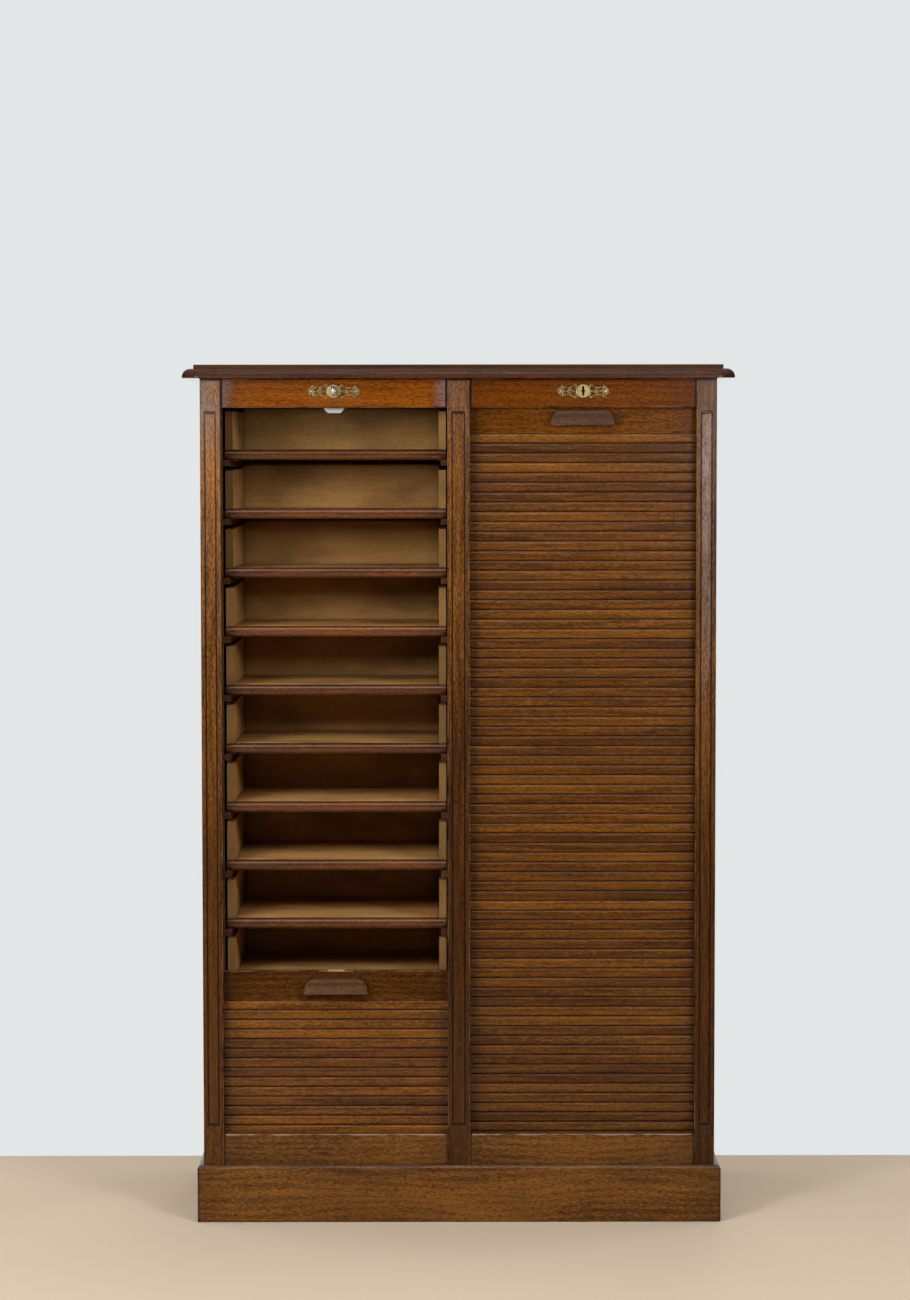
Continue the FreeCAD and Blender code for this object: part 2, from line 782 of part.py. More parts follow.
def add_canvas():
    """Canvas behind the slats: straight on the right, round the base on the left."""
    right_x = bay_x(1, "0 - canvas_width / 2")
    node("canvas_right", block(
        "canvas_right",
        ("canvas_width", "canvas_thickness", "closed_lead_z - tail_z"),
        (right_x, "slat_back_y", "tail_z"),
    ))
    left_x = bay_x(-1, "0 - canvas_width / 2")
    rise = STORED_SLATS * length_of("slat_pitch") - (length_of("stored_top_z") - length_of("turn_height"))
    rise -= length_of("rear_turn_y") - length_of("front_turn_y")
    rise -= math.pi * length_of("seat_radius")
    rise_share = rise / length_of("slat_pitch")
    members = [
        block(
            "canvas_front",
            ("canvas_width", "canvas_thickness", "lowered_lead_z - turn_height"),
            (left_x, "slat_back_y", "turn_height"),
        ),
        block(
            "canvas_base",
            ("canvas_width", "rear_turn_y - front_turn_y", "canvas_thickness"),
            (left_x, "front_turn_y", "turn_height - seat_radius"),
        ),
        block(
            "canvas_rear",
            ("canvas_width", "canvas_thickness", f"{rise_share} * slat_pitch"),
            (left_x, "rear_turn_y + turn_radius", "turn_height"),
        ),
    ]
    for end, start in (("front", -QUARTER_TURN), ("rear", 0)):
        spot = (left_x, end + "_turn_y", "turn_height")
        outer = quarter("canvas_outer_" + end, "seat_radius", "canvas_width", spot, start)
        inner = quarter("canvas_inner_" + end, "turn_radius", "canvas_width", spot, start)
        members.append(cut("canvas_turn_" + end, outer, inner))
    node("canvas_left", group("canvas_left", members))


def add_lock(name, side):
    """Lock case behind the top rail, with the hook bolt that hangs below the rail."""
    case = block(
        "case_block_" + name,
        ("lock_case_width", "lock_case_depth", "lock_case_height"),
        (bay_x(side, "0 - lock_case_width / 2"), "stile_back_y", "case_bottom_z"),
    )
    cavity = block(
        "case_cavity_" + name,
        (
            "lock_case_width - 2 * lock_case_wall",
            "bolt_front_y + bolt_depth - stile_back_y",
            "lock_case_height - lock_case_wall",
        ),
        (bay_x(side, "lock_case_wall - lock_case_width / 2"), "stile_back_y", "case_bottom_z"),
    )
    node("lock_case_" + name, cut("lock_case_" + name, case, cavity))
    shank = block(
        "bolt_shank_" + name,
        ("bolt_width", "bolt_depth", "bolt_body_height"),
        (bay_x(side, "0 - bolt_width / 2"), "bolt_front_y", "opening_top_z"),
    )
    tip = doc.addObject("Part::Wedge", "bolt_tip_" + name)
    measures = {
        "Xmin": "0 - bolt_tip_width / 2",
        "Xmax": "bolt_tip_width / 2",
        "Ymin": "0",
        "Ymax": "bolt_reach",
        "Zmin": "0",
        "Zmax": "bolt_depth",
        "X2min": "0 - bolt_width / 2",
        "X2max": "bolt_width / 2",
        "Z2min": "0",
        "Z2max": "bolt_depth",
    }
    for measure, text in measures.items():
        tip.setExpression(measure, bind(text))
    put(tip, (bay_x(side, "0"), "bolt_front_y + bolt_depth", "opening_top_z - bolt_reach"))
    tip.Placement.Rotation = FreeCAD.Rotation(FreeCAD.Vector(1, 0, 0), QUARTER_TURN)
    notch = block(
        "bolt_notch_" + name,
        ("hook_notch_depth", "bolt_depth", "hook_notch_height"),
        (
            bay_x(side, "bolt_width / 2 - hook_notch_depth"),
            "bolt_front_y",
            "opening_top_z + lead_tuck - strike_thickness - (hook_notch_height - strike_thickness) / 2",
        ),
    )
    whole = fuse("bolt_whole_" + name, [shank, tip])
    node("bolt_" + name, cut("bolt_" + name, whole, notch))


def add_key():
    """Key in the left lock: ring bow, collar, pin and bit."""
    along = FreeCAD.Rotation(FreeCAD.Vector(1, 0, 0), -QUARTER_TURN)
    x = bay_x(-1, "0")
    pin = rod(
        "key_pin",
        "key_radius",
        "key_front + bolt_front_y + bolt_depth / 2 - boss_face_y",
        (x, "boss_face_y - key_front", "key_z"),
        along,
    )
    collar = rod(
        "key_collar",
        "key_collar_radius",
        "key_collar_length",
        (x, "boss_face_y - key_collar_length - key_bow_wire", "key_z"),
        along,
    )
    bow = sized(
        "Part::Torus",
        "key_bow",
        {"Radius1": "key_bow_radius", "Radius2": "key_bow_wire"},
        (x, "boss_face_y - key_front - key_bow_radius + key_bow_wire", "key_z"),
    )
    bow.Placement.Rotation = FreeCAD.Rotation(FreeCAD.Vector(0, 1, 0), QUARTER_TURN)
    bit = block(
        "key_bit",
        ("key_bit_width", "key_bit_depth", "key_bit_height"),
        (
            f"{x} - key_bit_width / 2",
            "bolt_front_y + bolt_depth / 2 - key_bit_depth",
            "key_z",
        ),
    )
    node("key", fuse("key", [pin, collar, bow, bit]))


def escutcheon_point(shares, across, up):
    """Return the point of an outline share in the plate's own plane."""
    wide, high = shares
    half_width = length_of("escutcheon_width") / 2
    half_height = length_of("escutcheon_height") / 2
    return FreeCAD.Vector(across * wide * half_width, 0, up * high * half_height)


def plate_wires():
    """Closed outlines of the escutcheon plate: its edge, then its piercings."""
    right_top = [escutcheon_point(pair, 1, 1) for pair in OUTLINE_SHARES]
    left_top = [escutcheon_point(pair, -1, 1) for pair in reversed(OUTLINE_SHARES)]
    left_low = [escutcheon_point(pair, -1, -1) for pair in OUTLINE_SHARES[1:]]
    right_low = [escutcheon_point(pair, 1, -1) for pair in reversed(OUTLINE_SHARES[1:])]
    loop = right_top + left_top + left_low + right_low
    wires = [Part.makePolygon(loop + loop[:1])]
    for shares in PIERCING_SHARES:
        for across, up in ((1, 1), (1, -1), (-1, 1), (-1, -1)):
            corners = [escutcheon_point(pair, across, up) for pair in shares]
            wires.append(Part.makePolygon(corners + corners[:1]))
    return wires


def add_escutcheon(name, side, wires):
    """Pierced plate with a rounded boss and the keyhole through both."""
    outline = doc.addObject("Part::Feature", "plate_outline_" + name)
    outline.Shape = Part.Face(wires, "Part::FaceMakerBullseye")
    plate = doc.addObject("Part::Extrusion", "plate_" + name)
    plate.Base = outline
    plate.Dir = FreeCAD.Vector(0, 1, 0)
    plate.DirMode = "Custom"
    plate.Solid = True
    plate.setExpression("LengthFwd", bind("escutcheon_thickness"))
    put(plate, (bay_x(side, "0"), "plate_face_y", "key_z"))
    along = FreeCAD.Rotation(FreeCAD.Vector(1, 0, 0), -QUARTER_TURN)
    low = rod(
        "boss_" + name,
        "escutcheon_boss_radius",
        "escutcheon_boss_height + escutcheon_thickness - escutcheon_boss_round",
        (bay_x(side, "0"), "boss_face_y + escutcheon_boss_round", "key_z"),
        along,
    )
    cap = sized(
        "Part::Cone",
        "boss_cap_" + name,
        {
            "Radius1": "escutcheon_boss_radius - escutcheon_boss_round",
            "Radius2": "escutcheon_boss_radius",
            "Height": "escutcheon_boss_round",
        },
        (bay_x(side, "0"), "boss_face_y", "key_z"),
    )
    cap.Placement.Rotation = along
    deep = "escutcheon_boss_height + escutcheon_thickness"
    eye = rod(
        "plate_eye_" + name,
        "escutcheon_keyhole_radius",
        deep,
        (bay_x(side, "0"), "boss_face_y", "key_z"),
        along,
    )
    slot = block(
        "plate_slot_" + name,
        ("key_slot_width", deep, "2 * key_slot_reach"),
        (bay_x(side, "0 - key_slot_width / 2"), "boss_face_y", "key_z - key_slot_reach"),
    )
    whole = fuse("plate_whole_" + name, [plate, low, cap])
    hole = fuse("plate_hole_" + name, [eye, slot])
    node("escutcheon_" + name, cut("escutcheon_" + name, whole, hole))


def add_pins():
    """Round pin heads on the noses of both escutcheons."""
    along = FreeCAD.Rotation(FreeCAD.Vector(1, 0, 0), -QUARTER_TURN)
    members = []
    for name, side in (("left", -1), ("right", 1)):
        for end, offset in (
            ("a", "pin_inset - escutcheon_width / 2"),
            ("b", "escutcheon_width / 2 - pin_inset"),
        ):
            members.append(rod(
                f"pin_{name}_{end}",
                "pin_radius",
                "pin_height",
                (bay_x(side, offset), "plate_face_y - pin_height", "key_z"),
                along,
            ))
    node("escutcheon_pins", group("escutcheon_pins", members))


def add_shutters():
    """Slats and canvas of both shutters, the left lowered and the right closed."""
    slat = slat_master()
    lowered = length_of("lowered_lead_z")
    closed = length_of("closed_lead_z")
    pitch = length_of("slat_pitch")
    slat_run("slats_left_front", slat, -1, front_places(lowered, LOWERED_SLATS))
    slat_run("slats_left_stored", slat, -1, stored_places(STORED_SLATS))
    slat_run("slats_right_top", slat, 1, front_places(closed, LOWERED_SLATS))
    lower_top = closed - LOWERED_SLATS * pitch
    slat_run("slats_right_lower", slat, 1, front_places(lower_top, STORED_SLATS))
    add_canvas()
    add_lead("left", -1, "lowered_lead_z")
    add_lead("right", 1, "closed_lead_z")


def write_parts():
    """Check every object and write one file per sub-part."""
    doc.recompute()
    for item in doc.Objects:
        if "Invalid" in item.State or "Error" in item.State:
            raise RuntimeError("object not valid: " + item.Label)
    os.makedirs("parts", exist_ok=True)
    for label, item in nodes.items():
        shape = item.Shape
        if shape.isNull() or not shape.isValid() or not shape.Solids:
            raise RuntimeError("shape not valid: " + label)
        shape.exportStep(f"parts/{label}.step")
    print(len(nodes), "sub-parts written")


fill_sheets()
add_plinth()
add_carcass()
add_guides()
add_runners()
plate = plate_wires()
for bay, sign in (("left", -1), ("right", 1)):
    add_rails(bay, sign)
    add_lock(bay, sign)
    add_escutcheon(bay, sign, plate)
add_pins()
add_key()
add_shutters()
lip_side = lip_profile()
wall_side = tray_wall_profile()
for bay, sign in (("left", -1), ("right", 1)):
    for number in range(TRAY_COUNT):
        add_tray(bay, sign, number, lip_side, wall_side)
write_parts()
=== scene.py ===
import json
import logging
import math
import random
from abc import ABC, abstractmethod
from dataclasses import dataclass, field, replace
from enum import Enum
from typing import Callable, Iterable, Sequence

import bmesh
import bpy
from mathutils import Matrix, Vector

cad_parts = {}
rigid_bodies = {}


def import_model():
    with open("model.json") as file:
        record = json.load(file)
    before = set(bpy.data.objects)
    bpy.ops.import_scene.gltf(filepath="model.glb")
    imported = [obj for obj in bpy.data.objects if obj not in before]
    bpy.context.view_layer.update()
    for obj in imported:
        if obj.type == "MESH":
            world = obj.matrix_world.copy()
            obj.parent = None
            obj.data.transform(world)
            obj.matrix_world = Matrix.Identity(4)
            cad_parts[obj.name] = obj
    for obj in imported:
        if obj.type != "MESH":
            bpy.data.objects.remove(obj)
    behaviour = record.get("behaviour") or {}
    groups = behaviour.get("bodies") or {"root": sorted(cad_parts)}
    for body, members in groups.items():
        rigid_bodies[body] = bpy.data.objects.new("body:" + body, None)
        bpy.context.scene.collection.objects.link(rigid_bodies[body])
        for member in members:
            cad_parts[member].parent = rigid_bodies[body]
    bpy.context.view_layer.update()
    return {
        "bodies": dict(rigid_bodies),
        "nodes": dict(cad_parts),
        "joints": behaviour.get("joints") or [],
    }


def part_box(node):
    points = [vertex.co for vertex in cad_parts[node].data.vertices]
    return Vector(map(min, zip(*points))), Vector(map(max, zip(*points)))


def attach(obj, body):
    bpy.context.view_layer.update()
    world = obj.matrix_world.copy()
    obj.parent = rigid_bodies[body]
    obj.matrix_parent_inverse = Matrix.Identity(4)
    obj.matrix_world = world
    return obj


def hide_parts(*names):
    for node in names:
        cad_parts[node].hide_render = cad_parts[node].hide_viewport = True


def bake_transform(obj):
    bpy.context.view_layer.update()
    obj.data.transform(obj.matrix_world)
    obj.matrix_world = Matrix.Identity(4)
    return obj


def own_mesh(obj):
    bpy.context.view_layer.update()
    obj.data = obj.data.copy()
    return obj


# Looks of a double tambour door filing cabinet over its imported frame. Lengths are metres, the
# front faces -Y, +X is to the right and the floor is z 0.
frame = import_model()

Colour = tuple[float, float, float]
Point = tuple[float, float, float]
Outline = Sequence[tuple[float, float]]
Output = bpy.types.NodeSocket
Value = float | Sequence[float] | Output
log = logging.getLogger("cabinet")

TRAY_COUNT = 10
QUARTER = math.pi / 2
WHITE = (1.0, 1.0, 1.0)

# Meshes: how points are welded, which edges count as sharp and how they are rounded.
WELD = 1e-5
FLAT_ANGLE = math.radians(1.0)
SHARP_ANGLE = math.radians(40.0)
CREASE_ANGLE = math.radians(50.0)
ARRIS_STEPS = 2
ARRIS_ROUND = 0.5
ARRIS_LENGTHS = 3
DOWNWARD = -0.99
CLOTH_TONE = 0.5
MAIN, SECOND, THIRD = range(3)


class Side(Enum):
    """The two bays of the cabinet."""

    LEFT = "left"
    RIGHT = "right"


class Mark(Enum):
    """What every board carries on its points for its finish to read."""

    GRAIN = "grain"
    HALF = "half"
    TONE = "tone"
    SEED = "seed"


class Effect(Enum):
    """Shader groups that several finishes share."""

    FIGURE = "wood_figure"
    EDGES = "edge_marks"
    POLISH = "old_polish"
    DUST = "settled_dust"
    METAL = "metal_age"


VECTOR_MARKS = (Mark.GRAIN, Mark.HALF)
VECTOR_SOCKETS = ("Position", "Half Size")


@dataclass(frozen=True)
class Noise:
    """A noise: waves for each metre on each axis, octaves, what each keeps, and the range it is cut to."""

    stretch: Point
    detail: float
    rough: float
    low: float = 0.0
    high: float = 1.0
    start: float = 0.0
    end: float = 1.0


# Wood, with the grain along the first axis.
BROAD = Noise((1.9, 11.0, 11.0), 2.0, 0.5)
STREAK = Noise((11.0, 130.0, 130.0), 3.0, 0.6)
FIBRE = Noise((110.0, 430.0, 430.0), 3.0, 0.65)
WARP = Noise((2.6, 11.0, 11.0), 1.0, 0.5)
PORES = Noise((170.0, 2300.0, 2300.0), 1.0, 0.5, 0.58, 0.68)
TICKS = Noise((125.0, 520.0, 520.0), 2.0, 0.6, 0.50, 0.66)
FIGURE_SHARES = (0.32, 0.18, 0.50, 0.08)
FIGURE_RANGE = (0.37, 0.63)
FIGURE_SHIFT = (31.0, 17.0, 23.0)
RING_WAVES = 420.0
RING_WARP = 26.0
FIBRE_RELIEF = 0.35

# Edges: depths below the faces that count as groove, field, inside and joint; groove and joint get painted
# shade.
WEAR_AND_HIGHLIGHT_PATCH = Noise((28.0, 60.0, 60.0), 3.0, 0.6, 0.35, 0.7, 0.15, 1.5)
GRIME_AND_SHADE_PATCH = Noise((16.0, 90.0, 90.0), 3.0, 0.6, 0.3, 0.7, 0.5, 1.4)
GROOVE = (0.0009, 0.0020)
FIELD = (0.0002, 0.0004)
INSIDE = (0.003, 0.006)
JOINT_SHADOW = (0.0032, 0.0052)

# Polish, dust and metal.
HAZE = Noise((11.0, 30.0, 30.0), 4.0, 0.6, 0.35, 0.7)
STAIN = Noise((4.0, 9.0, 9.0), 3.0, 0.55, 0.45, 0.72)
POLISH_SHIFT = (7.0, 13.0, 5.0)
DUST_PATCH = Noise((60.0, 60.0, 60.0), 4.0, 0.65, 0.3, 0.75, 0.25, 1.0)
LYING = (0.55, 0.95)
BLOTCH = Noise((420.0, 420.0, 420.0), 3.0, 0.6, 0.40, 0.62)
SCRATCHES = Noise((2600.0, 900.0, 380.0), 2.0, 0.6)
LOW_PARTS = (-0.6, 0.2)
TARNISH_SHARES = (0.45, 0.55)


class Desk:
    """Places and links the nodes of one shader tree."""

    def __init__(self, tree: bpy.types.NodeTree) -> None:
        """Take over a tree and empty it."""
        self.tree = tree
        tree.nodes.clear()

    def feed(self, socket: Output, value: Value) -> None:
        """Link a socket to another or set its constant.

        Args:
            socket: The input to feed.
            value: An output socket, or a plain number or colour.
        """
        if isinstance(value, bpy.types.NodeSocket):
            self.tree.links.new(value, socket)
        elif isinstance(value, (int, float)):
            socket.default_value = value
        elif len(value) == 3 and socket.type == "RGBA":
            socket.default_value = (*value, 1.0)
        else:
            socket.default_value = value

    def add(self, kind: str, inputs: dict | None = None, **settings: object) -> bpy.types.Node:
        """Add a node with its settings and inputs.

        Args:
            kind: The node's type name without its ShaderNode prefix.
            inputs: Values or sockets by input name or index.
            settings: Properties to set on the node.

        Returns:
            The new node.
        """
        node = self.tree.nodes.new("ShaderNode" + kind)
        for name, value in settings.items():
            setattr(node, name, value)
        for name, value in (inputs or {}).items():
            self.feed(node.inputs[name], value)
        return node

    def math(self, operation: str, first: Value, second: Value = 0.0) -> Output:
        """Return the result of an operation on plain values."""
        return self.add("Math", {0: first, 1: second}, operation=operation).outputs[0]

    def vector(self, operation: str, first: Value, second: Value = (0.0, 0.0, 0.0)) -> Output:
        """Return the result of an operation on vectors."""
        return self.add("VectorMath", {0: first, 1: second}, operation=operation).outputs[0]

    def times(self, first: Value, second: Value) -> Output:
        """Return the product of two values."""
        return self.math("MULTIPLY", first, second)

    def least(self, first: Value, second: Value) -> Output:
        """Return the lower of two values."""
        return self.math("MINIMUM", first, second)

    def most(self, first: Value, second: Value) -> Output:
        """Return the higher of two values."""
        return self.math("MAXIMUM", first, second)

    def less(self, first: Value, second: Value) -> Output:
        """Return a value less another."""
        return self.math("SUBTRACT", first, second)

    def total(self, parts: Iterable[tuple[Value, float]]) -> Output:
        """Return the sum of several values.

        Args:
            parts: Each value with its share in the sum.

        Returns:
            The sum.
        """
        result, *others = [self.times(value, share) for value, share in parts]
        for other in others:
            result = self.math("ADD", result, other)
        return result

    def split(self, vector: Value) -> bpy.types.NodeOutputs:
        """Return the three parts of a vector."""
        return self.add("SeparateXYZ", {0: vector}).outputs

    def read(self, mark: Mark) -> Output:
        """Return what the points carry of a mark."""
        outputs = self.add("Attribute", attribute_name=mark.value).outputs
        return outputs["Vector" if mark in VECTOR_MARKS else "Fac"]

    def noise(self, place: Value, noise: Noise) -> Output:
        """Return a noise as it is drawn, between 0 and 1.

        Args:
            place: Position socket.
            noise: The noise to draw.

        Returns:
            The noise.
        """
        spread = self.vector("MULTIPLY", place, noise.stretch)
        inputs = {"Vector": spread, "Scale": 1.0, "Detail": noise.detail, "Roughness": noise.rough}
        return self.add("TexNoise", inputs, noise_dimensions="3D").outputs["Fac"]

    def patches(self, place: Value, noise: Noise) -> Output:
        """Return a noise cut to its range."""
        return self.ramp(self.noise(place, noise), noise.low, noise.high, noise.start, noise.end)

    def ramp(
        self, value: Value, low: Value, high: Value, start: Value = 0.0, end: Value = 1.0
    ) -> Output:
        """Return a value moved smoothly from the range low to high into start to end, and kept there."""
        inputs = {"Value": value, "From Min": low, "From Max": high, "To Min": start, "To Max": end}
        return self.add("MapRange", inputs, interpolation_type="SMOOTHSTEP").outputs["Result"]

    def mix(self, share: Value, first: Value, second: Value, how: str = "MIX") -> Output:
        """Return two colours mixed, with that share of the second."""
        inputs = {0: share, 6: first, 7: second}
        return self.add("Mix", inputs, data_type="RGBA", blend_type=how).outputs[2]

    def surface(self, share: Value, first: bpy.types.Node, second: bpy.types.Node) -> None:
        """Send two shaders to the material's surface, with that share of the second."""
        shader = self.add("MixShader", {0: share, 1: first.outputs[0], 2: second.outputs[0]})
        self.add("OutputMaterial", {"Surface": shader.outputs[0]})


def new_material(name: str) -> tuple[bpy.types.Material, Desk]:
    """Make an empty material.

    Args:
        name: Its name.

    Returns:
        The material, and a desk for its nodes.
    """
    material = bpy.data.materials.new(name)
    material.use_nodes = True
    return material, Desk(material.node_tree)


class Effects:
    """Builds each shared shader group once and places it in materials."""

    def __init__(self) -> None:
        """Build all the groups."""
        self.trees: dict[Effect, bpy.types.NodeTree] = {}
        reaches = ("Wear Reach", "Grime Reach", "End Reach")
        self.build(Effect.FIGURE, ("Position", "Seed", "Rings"), self.figure)
        self.build(Effect.EDGES, ("Position", "Half Size", *reaches), self.edges)
        self.build(Effect.POLISH, ("Position", "Seed"), self.polish)
        self.build(Effect.DUST, ("Position",), self.dust)
        self.build(Effect.METAL, ("Position", "Half Size", "Rub Reach"), self.metal)

    def build(self, effect: Effect, inputs: Sequence[str], fill: Callable[[Desk, dict], dict]) -> None:
        """Make one group's tree and its sockets.

        Args:
            effect: Which group to make.
            inputs: Names of its input sockets.
            fill: Method that draws the inside and returns each output's value.
        """
        tree = bpy.data.node_groups.new(effect.value, "ShaderNodeTree")
        for name in inputs:
            kind = "NodeSocketVector" if name in VECTOR_SOCKETS else "NodeSocketFloat"
            tree.interface.new_socket(name=name, in_out="INPUT", socket_type=kind)
        desk = Desk(tree)
        entry = tree.nodes.new("NodeGroupInput")
        made = fill(desk, {name: entry.outputs[name] for name in inputs})
        for name in made:
            tree.interface.new_socket(name=name, in_out="OUTPUT", socket_type="NodeSocketFloat")
        leave = tree.nodes.new("NodeGroupOutput")
        for name, value in made.items():
            desk.feed(leave.inputs[name], value)
        self.trees[effect] = tree

    def place(self, desk: Desk, effect: Effect, inputs: dict) -> bpy.types.NodeOutputs:
        """Place a group in a material and return its outputs."""
        return desk.add("Group", inputs, node_tree=self.trees[effect]).outputs

    @staticmethod
    def shifted(desk: Desk, given: dict, step: Point) -> Output:
        """Return the position, moved by a step times the seed."""
        shift = desk.add("VectorMath", {0: step, "Scale": given["Seed"]}, operation="SCALE")
        return desk.vector("ADD", given["Position"], shift.outputs[0])

    @staticmethod
    def figure(desk: Desk, given: dict) -> dict:
        """Draw the figure of wood: broad bands, streaks, rings, fibres and flecks along the grain.

        Args:
            desk: The group's tree.
            given: The group's inputs.

        Returns:
            Figure from dark to light, a mask of dark flecks and a height.
        """
        place = Effects.shifted(desk, given, FIGURE_SHIFT)
        broad, streak, fibre, warp = (desk.noise(place, noise) for noise in (BROAD, STREAK, FIBRE, WARP))
        turns = desk.total(((desk.split(place)[1], RING_WAVES), (warp, RING_WARP)))
        rings = desk.times(desk.math("SINE", turns), given["Rings"])
        total = desk.total(zip((broad, streak, fibre, rings), FIGURE_SHARES))
        pores = desk.patches(place, PORES)
        return {
            "Figure": desk.ramp(total, *FIGURE_RANGE),
            "Flecks": desk.most(pores, desk.patches(place, TICKS)),
            "Height": desk.less(desk.times(fibre, FIBRE_RELIEF), pores),
        }

    @staticmethod
    def edges(desk: Desk, given: dict) -> dict:
        """Draw worn arrises, partly a painted highlight, dirt with painted shade along board edges, painted
        shade in grooves, a painted shadow line at board ends, darker ends and lowered fields.

        Args:
            desk: The group's tree.
            given: The group's inputs.

        Returns:
            Masks of wear with painted highlight, grime with painted shade, ends and fields.
        """
        place = given["Position"]
        along, across, deep = desk.split(
            desk.vector("SUBTRACT", given["Half Size"], desk.vector("ABSOLUTE", place))
        )
        near = desk.least(along, across)
        second_nearest = desk.most(near, desk.least(desk.most(along, across), deep))
        # Pale band at arrises: wear, and a painted highlight on some boards.
        wear_and_highlight_reach = desk.times(given["Wear Reach"], desk.patches(place, WEAR_AND_HIGHLIGHT_PATCH))
        wear_and_highlight = desk.ramp(second_nearest, 0.0, wear_and_highlight_reach, 1.0, 0.0)
        # Dark band along board edges: dirt, and painted shade in the gaps between boards.
        grime_and_shade_reach = desk.times(given["Grime Reach"], desk.patches(place, GRIME_AND_SHADE_PATCH))
        grime_and_shade = desk.ramp(near, 0.0, grime_and_shade_reach, 1.0, 0.0)
        # Painted shade in the grooves of sunk fields, and a painted shadow line where a board ends against
        # another.
        groove = desk.ramp(deep, *GROOVE)
        inside = desk.ramp(across, *INSIDE)
        joint = desk.ramp(along, *JOINT_SHADOW, 1.0, 0.0)
        return {
            "Wear": desk.times(wear_and_highlight, desk.less(1.0, joint)),
            "Grime": desk.most(desk.most(grime_and_shade, desk.times(groove, inside)), joint),
            "Ends": desk.ramp(along, 0.0, given["End Reach"], 1.0, 0.0),
            "Field": desk.times(desk.less(desk.ramp(deep, *FIELD), groove), inside),
        }

    @staticmethod
    def polish(desk: Desk, given: dict) -> dict:
        """Draw masks of the uneven sheen and darker patches of old polish."""
        place = Effects.shifted(desk, given, POLISH_SHIFT)
        return {"Haze": desk.patches(place, HAZE), "Stain": desk.patches(place, STAIN)}

    @staticmethod
    def dust(desk: Desk, given: dict) -> dict:
        """Draw a mask of a thin film that lies on faces looking up."""
        up = desk.split(desk.add("NewGeometry").outputs["Normal"])[2]
        return {"Dust": desk.times(desk.ramp(up, *LYING), desk.patches(given["Position"], DUST_PATCH))}

    @staticmethod
    def metal(desk: Desk, given: dict) -> dict:
        """Draw tarnish in blotches and in the lower parts, fine scratches and a rubbed middle.

        Args:
            desk: The group's tree.
            given: The group's inputs.

        Returns:
            A mask of tarnish, a scratch height and a mask of the rubbed middle.
        """
        place = given["Position"]
        spot = desk.split(place)
        thick = desk.split(given["Half Size"])[2]
        low = desk.ramp(desk.math("DIVIDE", spot[2], thick), *LOW_PARTS)
        return {
            "Tarnish": desk.total(zip((desk.patches(place, BLOTCH), low), TARNISH_SHARES)),
            "Scratch": desk.noise(place, SCRATCHES),
            "Rubbed": desk.math("LESS_THAN", desk.math("ABSOLUTE", spot[0]), given["Rub Reach"]),
        }


@dataclass(frozen=True)
class Finish(ABC):
    """What every finish has: a name, a slot name and a relief."""

    name: str
    slot: str
    relief: float = field(default=0.06, kw_only=True)
    relief_depth: float = field(default=0.0003, kw_only=True)

    @abstractmethod
    def dress(self, desk: Desk, effects: Effects) -> tuple[Output, dict]:
        """Draw what is the finish's own, and return the relief's height and the shader's inputs."""

    def material(self, effects: Effects) -> bpy.types.Material:
        """Make the finish's material.

        Args:
            effects: The shared shader groups.

        Returns:
            The new material.
        """
        material, desk = new_material(self.name)
        height, inputs = self.dress(desk, effects)
        relief = {"Strength": self.relief, "Distance": self.relief_depth, "Height": height}
        inputs["Normal"] = desk.add("Bump", relief).outputs["Normal"]
        shader = desk.add("BsdfPrincipled", inputs)
        desk.add("OutputMaterial", {"Surface": shader.outputs["BSDF"]})
        return material


